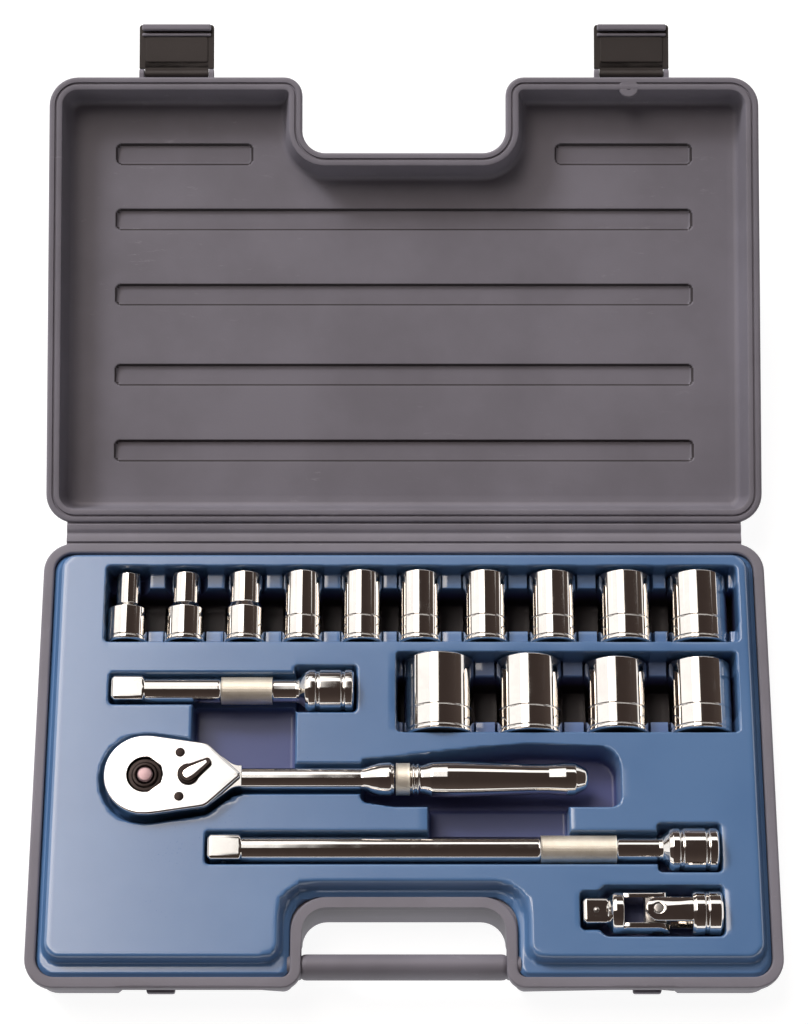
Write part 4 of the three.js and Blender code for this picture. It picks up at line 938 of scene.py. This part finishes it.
def tray_height(x, y, grow=0.0):
    """Height of the formed sheet: raised top, sloped side, flange, and the lowest of all recesses.

    The under side has every recess wider by the sheet's thickness and lies that much lower.
    """
    plateau = outline_distance(x, y, outline(plateau_corners()))
    slope_out = np.array([-1.4, -0.6, -0.1, 0.4, 0.8, 2.2, 2.6, 3.3])
    slope_height = np.array([1, 0.99, 0.96, 0.88, 0.78, 0.10, 0.02, 0])
    height = FLANGE + (TOP - FLANGE) * np.interp(plateau + grow, slope_out, slope_height)
    rim = outline_distance(x, y, outline(tray_edge()))
    height = height - GUTTER * np.interp(-rim, [0, 0.7, 1.5, 2.0], [1, 0.8, 0.08, 0])
    top = TOP
    for (x0, x1, y0, y1), floor in boxed_recesses():
        height = np.minimum(height, sunk(box_distance(x, y, x0, x1, y0, y1) - grow, top, floor))
    shaped = [
        (head_corners(3), TOP - RATCHET_SINK - 8.25, 0.6),
        (grip_corners(), TOP - 17, 0.6),
        (joint_corners(), TOP - 16.1, 0.0),
    ]
    for corners, floor, draft in shaped:
        away = outline_distance(x, y, outline(corners, 0, 6))
        height = np.minimum(height, sunk(away - grow, top, floor, draft))
    for sizes, saddle, room in ROWS:
        x0, x1, y0, y1 = row_box(sizes, room)
        rest = row_rest(y0, y1)
        places = [socket_place(size) for size in sizes]
        deep = min(place[2] - radius for place, radius, _ in places) - FIT - 0.4
        away = box_distance(x, y, x0, x1, y0, y1)
        trough = box_distance(x, y, x0, x1, y0 + rest, y1 - rest, 2)
        drop = sunk(trough - grow, 0, deep - top + saddle)
        height = np.minimum(height, sunk(away - grow, top, top - saddle) + drop)
        inside = np.interp(-(away - grow), EDGE_STEPS, EDGE_SHARES)
        for place, radius, _ in places:
            bowl = np.minimum(cradle(x, place, radius, grow), top)
            height = np.minimum(height, top - (top - bowl) * inside)
    return height - grow


def tray():
    """The blue tray: one formed sheet over a grid whose lines gather at every edge."""
    boxes = [found for found, _ in boxed_recesses()]
    rows = [row_box(sizes, room) for sizes, _, room in ROWS]
    boxes += rows
    x_edges = [(x, way) for x0, x1, _, _ in boxes for x, way in ((x0, 1), (x1, -1))]
    y_edges = [(y, way) for _, _, y0, y1 in boxes for y, way in ((y0, 1), (y1, -1))]
    for x0, x1, y0, y1 in rows:
        rest = row_rest(y0, y1)
        y_edges += [(y0 + rest, 1), (y1 - rest, -1)]
    x_lines = []
    for size in [*SOCKETS_BACK, *SOCKETS_FRONT]:
        place, radius, _ = socket_place(size)
        reaches = [radius + reach for reach in (FIT - 1.6, FIT, FIT + 0.4)]
        x_lines += [place[0] + side * reach for side in (-1, 1) for reach in reaches]
    head = outline(head_corners(3))
    joint = outline(joint_corners())
    grip = outline(grip_corners())
    for shape in (head, joint, grip):
        x_edges += [(shape[:, 0].min(), 1), (shape[:, 0].max(), -1)]
        y_edges += [(shape[:, 1].min(), 1), (shape[:, 1].max(), -1)]
    rim_low, rim_high = outline(tray_edge()).min(0), outline(tray_edge()).max(0)
    slope = outline(plateau_corners())
    for way, rim_side, slope_side in ((1, rim_low, slope.min(0)), (-1, rim_high, slope.max(0))):
        x_edges += [(rim_side[0], way), (slope_side[0], -way)]
        y_edges += [(rim_side[1], way), (slope_side[1], -way)]
    x_spans = [
        (head[:, 0].min() - 1.5, head[:, 0].min() + 14),
        (head[:, 0].min() + 14, head[:, 0].min() + 64),
        (grip[:, 0].max() - 16, grip[:, 0].max() + 1.5),
        (NOTCH_HALF + 4, NOTCH_HALF + 15),
        (-NOTCH_HALF - 15, -NOTCH_HALF - 4),
        (HALF_X - 18, HALF_X - 6),
        (-HALF_X + 6, -HALF_X + 18),
        (joint[:, 0].min() + 7, joint[:, 0].min() + 14),
    ]
    y_spans = [
        (head[:, 1].min() - 1.5, head[:, 1].max() + 1.5),
        (-HALF_Y + 6, -HALF_Y + 22),
        (HALF_Y - 17, HALF_Y - 6),
        (-HALF_Y + NOTCH_DEPTH + 5, -HALF_Y + NOTCH_DEPTH + 14),
        (joint[:, 1].min() - 1.4, joint[:, 1].min() + 6),
        (joint[:, 1].max() - 6, joint[:, 1].max() + 1.4),
    ]
    edge = outline(tray_edge())
    low, high = edge.min(0), edge.max(0)
    xs = ruled(low[0], high[0], x_edges, 4.5, x_spans, 1.1)
    xs = np.unique(np.round(np.concatenate([xs, x_lines]), 2))
    xs = xs[np.concatenate([[True], np.diff(xs) > 0.24])]
    ys = ruled(low[1], high[1], y_edges, 4.5, y_spans, 1.1)
    part = sheet(xs, ys, edge, tray_height, lambda x, y: tray_height(x, y, TRAY_SHEET))
    make("case_tray", [part], [TRAY_PLASTIC], "case", ["tray"], sharp=70)


# ---- sockets --------------------------------------------------------------------------------------
def socket(size, nose):
    """A socket lying along Y: square drive bore in front, hexagon behind, and two engraved lines round it."""
    place, radius, length = socket_place(size)
    half = length / 2
    nose = nose / 2 if nose else radius
    stepped = nose < radius - 1
    outside = [(-half, radius - 1.0), (-half + 0.9, radius)]
    for groove in ((-half + 2.6, 0.28), (-half + 13.0, 0.28)):
        if stepped and groove[0] > -half + 10:
            continue
        outside += [
            (groove[0] - 0.45, radius),
            (groove[0] - 0.2, radius - groove[1]),
            (groove[0] + 0.2, radius - groove[1]),
            (groove[0] + 0.45, radius),
        ]
    if stepped:
        step = half - 17
        outside += [(step - 3, radius), (step, nose)]
    outside += [(half - 0.9, nose), (half, nose - 0.9)]
    rows = rounds(eased(outside, 0.25))
    hexagon = polygon(6, size + 0.2)
    square = polygon(4, SOCKET_BORE, SOCKET_BORE * 0.66)
    through = min(SOCKET_BORE, size) / 2 - 0.8
    lead = np.minimum(hexagon * 1.06, nose - 0.95)
    rows += [(half, lead), (half - 0.8, np.minimum(hexagon, lead))]
    hex_depth = min(19, length - 17)
    rows += [(half - hex_depth, np.minimum(hexagon, lead)), (half - hex_depth, np.full(AROUND, through))]
    rows += [(-half + 16, np.full(AROUND, through)), (-half + 16, square), (-half + 0.7, square)]
    rows += [(-half, np.minimum(square + 0.6, radius - 1.1))]
    points = turned(rows, "y", place)
    outer_rows = len(eased(outside, 0.25))
    outer, faces, _ = skin(points, closed=True)
    index = np.zeros(len(faces), int)
    # The bores take the second finish, darkened as painted shade.
    index[(outer_rows + 1) * AROUND:] = 1
    name, body = f"socket_{size:02d}_chromed", socket_name(size)
    make(name, [(outer, faces, index)], [CHROME, BORE], body, [body], sharp=50)


# ---- extensions -----------------------------------------------------------------------------------
def square_end(start, length, away=1):
    """Rows of a drive square: chamfered tip, flats with turned-off corners, and a shoulder."""
    flats = polygon(4, DRIVE_SQUARE, 8.2)
    return [
        (start, flats * 0.80),
        (start + away * 0.25, flats * 0.86),
        (start + away * 1.3, flats * 0.985),
        (start + away * 1.8, flats),
        (start + away * (length - 1.6), flats),
        (start + away * (length - 0.6), np.minimum(flats, 7.3)),
    ]


def extension(name, band_length, beyond):
    """An extension bar along X: drive square, shank, knurled band, neck and a grooved, bored socket end."""
    low, high = box_of(name + "_bar")
    y, z = (low[1] + high[1]) / 2, (low[2] + high[2]) / 2
    start, end = low[0], high[0]
    band_end = end - beyond
    band_start = band_end - band_length
    rows = square_end(start, 17)
    shank = [(start + 17, 6.3), (band_start - 1.4, 6.3), (band_start - 0.9, 6.1), (band_start, 6.6)]
    rows += rounds(eased(shank, 0.2))
    knurl_first = len(rows)
    rows += knurled(band_start + 0.1, band_end - 0.1, 7.0, 0.32)
    knurl_last = len(rows)
    tail = [
        (band_end, 6.4),
        (band_end + 0.6, 5.9),
        (end - 29, 5.9),
        (end - 27.5, 6.6),
        (end - 24.4, 9.9),
        (end - 22.6, 10.8),
        (end - 19.4, 10.8),
        (end - 18.9, 10.2),
        (end - 17.6, 10.2),
        (end - 17.1, 10.8),
        (end - 6.6, 10.8),
        (end - 6.1, 10.2),
        (end - 4.9, 10.2),
        (end - 4.4, 10.8),
        (end - 1, 10.8),
        (end, 9.8),
    ]
    rows += rounds(eased(tail, 0.3))
    bore = polygon(4, SOCKET_BORE, SOCKET_BORE * 0.66)
    bore_first = len(rows)
    rows += [
        (end, np.minimum(bore + 0.7, 9.4)),
        (end - 0.8, bore),
        (end - 15, bore),
        (end - 15, bore * 0.05),
    ]
    points = turned(rows, "x", (0, y, z))
    outer, faces, _ = skin(points)
    index = np.zeros(len(faces), int)
    index[(knurl_first - 1) * AROUND:knurl_last * AROUND] = 1
    # The bore takes the third finish, darkened as painted shade.
    index[bore_first * AROUND:] = 2
    finishes = [CHROME, KNURL, BORE]
    make(name + "_chromed", [(outer, faces, index)], finishes, name, [name + "_bar"], sharp=50)


def steel_ball(node, body):
    """A sprung ball: a half circle carried round Z."""
    low, high = box_of(node)
    centre = (low + high) / 2
    radius = (high[2] - low[2]) / 2
    lift = np.linspace(-math.pi / 2 + 0.06, math.pi / 2 - 0.06, 24)
    rows = rounds([(radius * math.sin(a), radius * math.cos(a)) for a in lift])
    parts = [skin(turned(rows, "z", centre))]
    make(node.replace("detent_ball", "ball"), parts, [STEEL], body, [node], sharp=80)


# ---- universal joint ------------------------------------------------------------------------------
def yoke_arm(pivot, centre, way, across, side):
    """One arm of a fork, closed round its pin hole, with its outside rounded to the bar's own circle."""
    eye, reach, slot, full = 6.0, 18.5, 6.3, 10.45
    turn = np.linspace(0, 2 * np.pi, 73)[:-1]
    direction = np.stack([np.cos(turn), np.sin(turn)], -1)
    hole = direction * 2.7
    tiny = 1e-6
    sideways = np.abs(direction[:, 1])
    flat_side = np.where(sideways > tiny, eye / np.maximum(sideways, tiny), 1e3)
    far = reach / np.maximum(direction[:, 0], tiny)
    stretch = np.where(direction[:, 0] > 0, np.minimum(flat_side, far), eye)
    edge = direction * stretch[:, None]

    def ring(share, depth, ease=0.0):
        at = hole + (edge - hole) * share
        outside = np.sqrt(np.maximum(full**2 - at[:, 1] ** 2, 0)) - ease
        height = slot + (outside - slot) * depth
        return np.stack([way * at[:, 0], at[:, 1], side * height], -1)

    outer = [(0, 1, 0.25), (0.12, 1), (0.5, 1), (0.88, 1), (0.96, 1, 0.12), (1, 1, 0.5)]
    inner = [(1, 0.1), (0.97, 0), (0.5, 0), (0.02, 0)]
    grid = np.array([ring(*level) for level in outer + inner])
    if across == "y":
        grid = grid[:, :, [0, 2, 1]]
    return skin(grid + np.array([pivot, centre[1], centre[2]]), closed=True)


def universal_joint():
    """Two forks on a cross, held by three pins: one has the drive square and the other the socket end."""
    low, high = box_of("universal_joint_square_yoke")
    end = box_of("universal_joint_socket_yoke")[1][0]
    y, z = (low[1] + high[1]) / 2, (low[2] + high[2]) / 2
    cross_low, cross_high = box_of("universal_joint_cross")
    pivot = (cross_low[0] + cross_high[0]) / 2
    centre = (0, y, z)
    neck = [
        (pivot - 25, 6.5),
        (pivot - 24, 7.4),
        (pivot - 22, 10.2),
        (pivot - 20.5, 10.5),
        (pivot - 17, 10.5),
        (pivot - 16.6, 10.0),
    ]
    parts = [skin(turned(square_end(low[0], 13) + rounds(eased(neck, 0.4)), "x", centre))]
    parts += [yoke_arm(pivot, centre, -1, "y", side) for side in (-1, 1)]
    node = "universal_joint_square_yoke"
    make("universal_joint_square_fork", parts, [CHROME], "universal_joint_yoke", [node], sharp=45)
    sleeve = [
        (pivot + 16.6, 9.8),
        (pivot + 17, 10.4),
        (pivot + 18.6, 11.0),
        (end - 8.6, 11.0),
        (end - 8.2, 10.5),
        (end - 6.8, 10.5),
        (end - 6.4, 11.0),
        (end - 1, 11.0),
        (end, 10.0),
    ]
    bore = polygon(4, SOCKET_BORE, SOCKET_BORE * 0.66)
    rows = rounds(eased(sleeve, 0.3))
    rows += [
        (end, np.minimum(bore + 0.6, 9.6)),
        (end - 0.8, bore),
        (end - 11.5, bore),
        (end - 11.5, bore * 0.05),
    ]
    parts = [skin(turned(rows, "x", centre))]
    parts += [yoke_arm(pivot, centre, 1, "z", side) for side in (-1, 1)]
    node = "universal_joint_socket_yoke"
    make("universal_joint_socket_fork", parts, [CHROME], "universal_joint", [node], sharp=45)
    long_pin = [(-9.9, 0.2), (-9.9, 2.1), (-9.5, 2.5), (9.5, 2.5), (9.9, 2.1), (9.9, 0.2)]
    joint_pin("long", long_pin, "y", (pivot, y, z))
    for which, way in (("upper", 1), ("lower", -1)):
        stub = [(way * 2.8, 0.2), (way * 2.8, 2.5), (way * 9.5, 2.5), (way * 9.9, 2.1), (way * 9.9, 0.2)]
        joint_pin(which, stub, "z", (pivot, y, z))


def joint_pin(which, profile, axis, centre):
    """A turned pin of the universal joint's cross."""
    parts = [skin(turned(rounds(eased(profile, 0.2)), axis, centre))]
    node = f"universal_joint_{which}_pin"
    make(f"universal_joint_pin_{which}", parts, [STEEL], "universal_joint", [node])


# ---- ratchet --------------------------------------------------------------------------------------
def head_ring(levels, hole, pointed=False):
    """A plate like the head, closed round a hole: each level is (height, inset, share from the hole)."""
    axis = np.array(drive_axis())
    rows = []
    for height, inset, share in levels:
        edge = outline(head_corners(0.0, pointed), inset, 16) - axis
        inner = edge / np.linalg.norm(edge, axis=1)[:, None] * hole
        at = axis + inner + (edge - inner) * share
        rows.append(np.concatenate([at, np.full((len(at), 1), height)], -1))
    return np.array(rows)


def ratchet():
    """Head, cover plate, screws, drive, button, lever, shank and grip."""
    axis_x, axis_y = drive_axis()
    top = box_of("ratchet_cover_plate")[1][2]
    head_top = top - 2.3
    head_bottom = head_top - 13.7
    shank_z = TOP - RATCHET_SINK
    head = [
        (head_bottom, 0.9, 0),
        (head_bottom, 1.6, 1),
        (head_bottom + 0.5, 0.6, 1),
        (head_bottom + 1.5, 0, 1),
        (head_top - 0.5, 0, 1),
        (head_top, 0.4, 1),
        (head_top, 0.4, 0),
    ]
    shank = [
        (40, 0.3),
        (40, 5.6),
        (107.6, 5.6),
        (111.6, 7.0),
        (116, 8.2),
        (118.6, 8.4),
        (121.6, 8.6),
        (122.6, 7.9),
        (123.4, 7.8),
        (123.4, 0.3),
    ]
    shank_part = turned(rounds(eased(shank, 0.8)), "x", (axis_x, axis_y, shank_z))
    parts = [skin(head_ring(head, 9.3), closed=True), skin(shank_part)]
    make("ratchet_forging", parts, [CHROME], "ratchet", ["ratchet_body"], sharp=45)
    plate = [
        (top - 2, 0, 0),
        (top - 2, 0, 1),
        (top - 0.9, 0, 1),
        (top - 0.35, 0.2, 1),
        (top - 0.08, 0.6, 1),
        (top, 1.2, 1),
        (top, 1.4, 0.02),
        (top - 0.3, 1.4, 0),
    ]
    parts = [skin(head_ring(plate, 9.1, True), closed=True)]
    make("ratchet_cover", parts, [POLISHED], "ratchet", ["ratchet_cover_plate"], sharp=45)
    screw = [(top - 1, 0.1), (top - 1, 2.4), (top + 0.05, 2.4), (top + 0.3, 1.9), (top + 0.34, 0.05)]
    for place, side in (("back", 1), ("front", -1)):
        at = (axis_x + 17.2, axis_y + side * 11.4, 0)
        parts = [skin(turned(rounds(eased(screw, 0.2)), "z", at))]
        node = f"ratchet_cover_screw_{place}"
        make(f"ratchet_screw_{place}", parts, [DARK_STEEL], "ratchet", [node])
    gear(axis_x, axis_y, top, head_bottom)
    cap = [
        (head_bottom + 6, 0.1),
        (head_bottom + 6, 3.9),
        (top - 0.3, 3.9),
        (top + 0.4, 3.2),
        (top + 0.45, 0.05),
    ]
    parts = [skin(turned(rounds(eased(cap, 0.3)), "z", (axis_x, axis_y, 0)))]
    make("ratchet_button", parts, [BUTTON], "ratchet_button", ["ratchet_release_button"])
    lever(axis_x, axis_y, top)
    grip(axis_x, axis_y, shank_z)


def gear(axis_x, axis_y, top, head_bottom):
    """The drive: square anvil, journal, toothed ring, and a stepped hub with the button's well in it."""
    floor = head_bottom + 2.7
    teeth = 11.6 - 1.1 * np.abs((ANGLE * 24 / (2 * np.pi)) % 1 - 0.5) * 2
    flats = polygon(4, DRIVE_SQUARE, 8.2)
    tip = head_bottom - 11.5
    journal = np.full(AROUND, 9.1)
    rows = [
        (tip, flats * 0.05),
        (tip, flats * 0.86),
        (tip + 1.2, flats),
        (head_bottom - 0.6, flats),
        (head_bottom - 0.6, journal),
        (floor, journal),
        (floor, teeth),
        (floor + 8, teeth),
        (floor + 8, np.full(AROUND, 8.7)),
    ]
    hub = [
        (top - 1.9, 8.7),
        (top - 1.2, 8.2),
        (top - 1.2, 6.6),
        (top - 0.6, 6.2),
        (top - 0.5, 4.9),
        (top - 1.1, 4.3),
        (floor + 1, 4.3),
        (floor + 1, 0.1),
    ]
    rows += rounds(eased(hub, 0.25))
    parts = [skin(turned(rows, "z", (axis_x, axis_y, 0)))]
    node = "ratchet_drive_gear"
    make("ratchet_drive_hub", parts, [DARK_STEEL], "ratchet_drive", [node], sharp=45)


def lever(axis_x, axis_y, top):
    """The reversing lever: a round boss and a tapering finger with a raised crown."""
    pivot = (axis_x + 21.5, axis_y)
    angle = math.radians(33)
    c, s = math.cos(angle), math.sin(angle)

    def placed(corners):
        return [(pivot[0] + x * c - y * s, pivot[1] + x * s + y * c, r) for x, y, r in corners]

    boss = [(top + 0.25, 0.1), (top + 0.25, 5.4), (top + 1.1, 5.4), (top + 1.5, 4.9), (top + 1.5, 0.1)]
    boss_part = turned(rounds(eased(boss, 0.3)), "z", (*pivot, 0))
    edge = placed([
        (-4.4, -4.4, 4.2),
        (2, -4.4, 4),
        (13, -1.8, 1.7),
        (13, 1.8, 1.7),
        (2, 4.4, 4),
        (-4.4, 4.4, 4.2),
    ])
    finger = loft(edge, [(top + 0.4, 0), (top + 1.4, 0), (top + 2.0, 0.25), (top + 2.3, 0.8)], 8)
    crown_edge = placed([
        (-2.6, -2.2, 2),
        (2, -2.4, 2.4),
        (11.2, -0.8, 0.7),
        (11.2, 0.8, 0.7),
        (2, 2.4, 2.4),
        (-2.6, 2.2, 2),
    ])
    crown = loft(crown_edge, [(top + 2.0, 0), (top + 2.34, 0.15), (top + 2.4, 0.5)], 8)
    parts = [skin(boss_part, 1), skin(finger, 1), skin(crown)]
    node = "ratchet_reversing_lever"
    make("ratchet_lever", parts, [POLISHED, DARK_STEEL], "ratchet_lever", [node])


def grip(axis_x, axis_y, z):
    """The grip: knurled collar, bright ring, contoured handle and a bevelled tip with a dimple."""
    start = 123.9
    total = box_of("ratchet_grip")[1][0] - axis_x
    rows = rounds([(start, 0.1), (start, 7.6), (start + 0.3, 8.0)])
    first = len(rows)
    rows += knurled(start + 0.4, start + 7.0, 8.2, 0.35, 1.2)
    last = len(rows)
    ring = [(7.4, 7.4), (7.9, 6.9), (8.6, 7.9), (9.4, 8.0), (9.8, 7.4), (10.4, 7.4), (10.8, 8.0), (11.6, 7.9)]
    swell = [(12.4, 7.0), (14, 7.4), (18, 8.7), (26, 9.0), (32, 9.0)]
    waist = [(44, 8.6), (56, 8.1), (68, 7.6), (76, 7.5), (81, 7.9)]
    bevel = [(11, 8.2), (6.4, 8.1), (5.6, 7.6), (1.2, 5.4), (0.3, 4.3)]
    dimple = [(0, 3.6), (0.4, 2.4), (1.4, 1.6), (1.6, 0.1)]
    tail = [(start + away, radius) for away, radius in [*ring, *swell, *waist]]
    tail += [(total - away, radius) for away, radius in [*bevel, *dimple]]
    rows += rounds(eased(tail, 0.7, 4))
    outer, faces, _ = skin(turned(rows, "x", (axis_x, axis_y, z)))
    index = np.zeros(len(faces), int)
    index[(first - 1) * AROUND:last * AROUND] = 1
    parts = [(outer, faces, index)]
    make("ratchet_handgrip", parts, [CHROME, KNURL], "ratchet", ["ratchet_grip"], sharp=45)


# ---- floor, light and camera ----------------------------------------------------------------------
LEFT_BOX = 1.2
WINDOW = 4.5
BACK_BOX = 1.4
RIGHT_STRIP = 1.2
KEY_POWER = 52


def floor():
    """A wide pale floor under the case, gently curved up at its far edges."""
    across = np.linspace(-9000, 9000, 61)
    x, y = np.meshgrid(across, across)
    away = np.maximum(np.hypot(x, y) - 5000, 0)
    z = (away / 4000) ** 2 * 900 - 0.05
    points = np.stack([x, y, z], -1).reshape(-1, 3)
    mesh = bpy.data.meshes.new("floor")
    mesh.from_pydata((points * MM).tolist(), [], quads_of(61, 61, False, False).tolist())
    mesh.shade_smooth()
    material, paint = finish("floor_pale")
    tone = paint.blend(paint.noise(3), colour(0.20, 0.20, 0.20), colour(0.22, 0.22, 0.22))
    glow = {"Emission_Color": colour(1, 1, 1), "Emission_Strength": 0.92}
    paint.surface(Base_Color=tone, Roughness=0.9, **glow)
    mesh.materials.append(material)
    piece = bpy.data.objects.new("floor", mesh)
    bpy.context.scene.collection.objects.link(piece)


def studio():
    """The room: dark and warm, with a soft box and a bright window on the left, a back box and a right strip.

    Every light is a patch of directions, given by how far each leans to the right and pitches to the back.
    """
    world = bpy.data.worlds.new("studio")
    bpy.context.scene.world = world
    world.use_nodes = True
    paint = Paint(world.node_tree)
    where = paint.node("ShaderNodeTexCoord").outputs["Generated"]
    parts = paint.node("ShaderNodeSeparateXYZ", {}, {0: where})
    x, y, z = (Value(paint, parts.outputs[i]) for i in range(3))
    lean = x._with("ARCTAN2", z)
    pitch = y._with("ARCTAN2", z)

    def patch(value, start, end, soft):
        return value.ramp(start - soft, start) * value.ramp(end, end + soft, 1.0, 0.0)

    left = patch(lean, -1.3, -0.055, 0.03) * patch(pitch, 0.05, 1.1, 0.1) * z.ramp(0.0, 0.1)
    window = patch(lean, -0.50, -0.125, 0.02) * patch(pitch, 0.08, 0.62, 0.08) * z.ramp(0.0, 0.1)
    back = patch(pitch, 0.62, 0.92, 0.04) * patch(lean, -0.9, 0.9, 0.1)
    right = patch(lean, 1.38, 1.50, 0.04) * z.ramp(0.0, 0.02)
    strength = left * LEFT_BOX + back * BACK_BOX + right * RIGHT_STRIP
    glow = {"Color": colour(1, 0.88, 0.78), "Strength": window * WINDOW}
    glare = paint.node("ShaderNodeBackground", {}, glow)
    warm = paint.blend(z.ramp(-0.2, 1.0), colour(0.10, 0.075, 0.065), colour(0.045, 0.032, 0.028))
    room = paint.node("ShaderNodeBackground", {}, {"Color": warm, "Strength": 1.0})
    soft = paint.node("ShaderNodeBackground", {}, {"Color": colour(1, 0.985, 0.97), "Strength": strength})
    boxes = paint.node("ShaderNodeAddShader", {}, {0: glare.outputs[0], 1: soft.outputs[0]})
    lit = paint.node("ShaderNodeAddShader", {}, {0: room.outputs[0], 1: boxes.outputs[0]})
    pale = paint.node("ShaderNodeBackground", {}, {"Color": colour(0.94, 0.94, 0.945), "Strength": 1.0})
    seen = paint.node("ShaderNodeLightPath").outputs["Is Camera Ray"]
    mixed = paint.node("ShaderNodeMixShader", {}, {0: seen, 1: lit.outputs[0], 2: pale.outputs[0]})
    paint.node("ShaderNodeOutputWorld", {}, {"Surface": mixed.outputs[0]})


def lamp(name, place, aim, size, power):
    """A soft square lamp, in metres, turned to face a point; mirrors don't show it."""
    data = bpy.data.lights.new(name, "AREA")
    data.size = size
    data.energy = power
    made = bpy.data.objects.new(name, data)
    made.location = place
    made.rotation_euler = (Vector(aim) - Vector(place)).to_track_quat("-Z", "Y").to_euler()
    made.visible_glossy = False
    bpy.context.scene.collection.objects.link(made)


def camera():
    data = bpy.data.cameras.new("camera")
    data.lens = 103.7
    data.sensor_width = 36
    data.clip_end = 50
    made = bpy.data.objects.new("camera", data)
    made.location = (0, -0.4628, 1.4355)
    made.rotation_euler = (math.radians(23), 0, 0)
    bpy.context.scene.collection.objects.link(made)
    bpy.context.scene.camera = made


camera()
floor()
studio()
lamp("key", (-1.75, 1.75, 2.0), (0, 0.1, 0), 0.6, KEY_POWER)
bpy.context.scene.view_settings.view_transform = "Standard"

base_shell()
lid_shell()
hinge_strip()
latch(-1)
latch(1)
tray()
for size, nose in {**SOCKETS_BACK, **SOCKETS_FRONT}.items():
    socket(size, nose)
extension("extension_short", 25.8, 41)
extension("extension_long", 37.5, 50)
steel_ball("extension_short_detent_ball", "extension_short_ball")
steel_ball("extension_long_detent_ball", "extension_long_ball")
universal_joint()
steel_ball("universal_joint_detent_ball", "universal_joint_ball")
ratchet()
steel_ball("ratchet_detent_ball", "ratchet_ball")
for node in ("ratchet_pawl", "universal_joint_cross"):
    frame["nodes"][node].data.materials.clear()
    frame["nodes"][node].data.materials.append(STEEL)
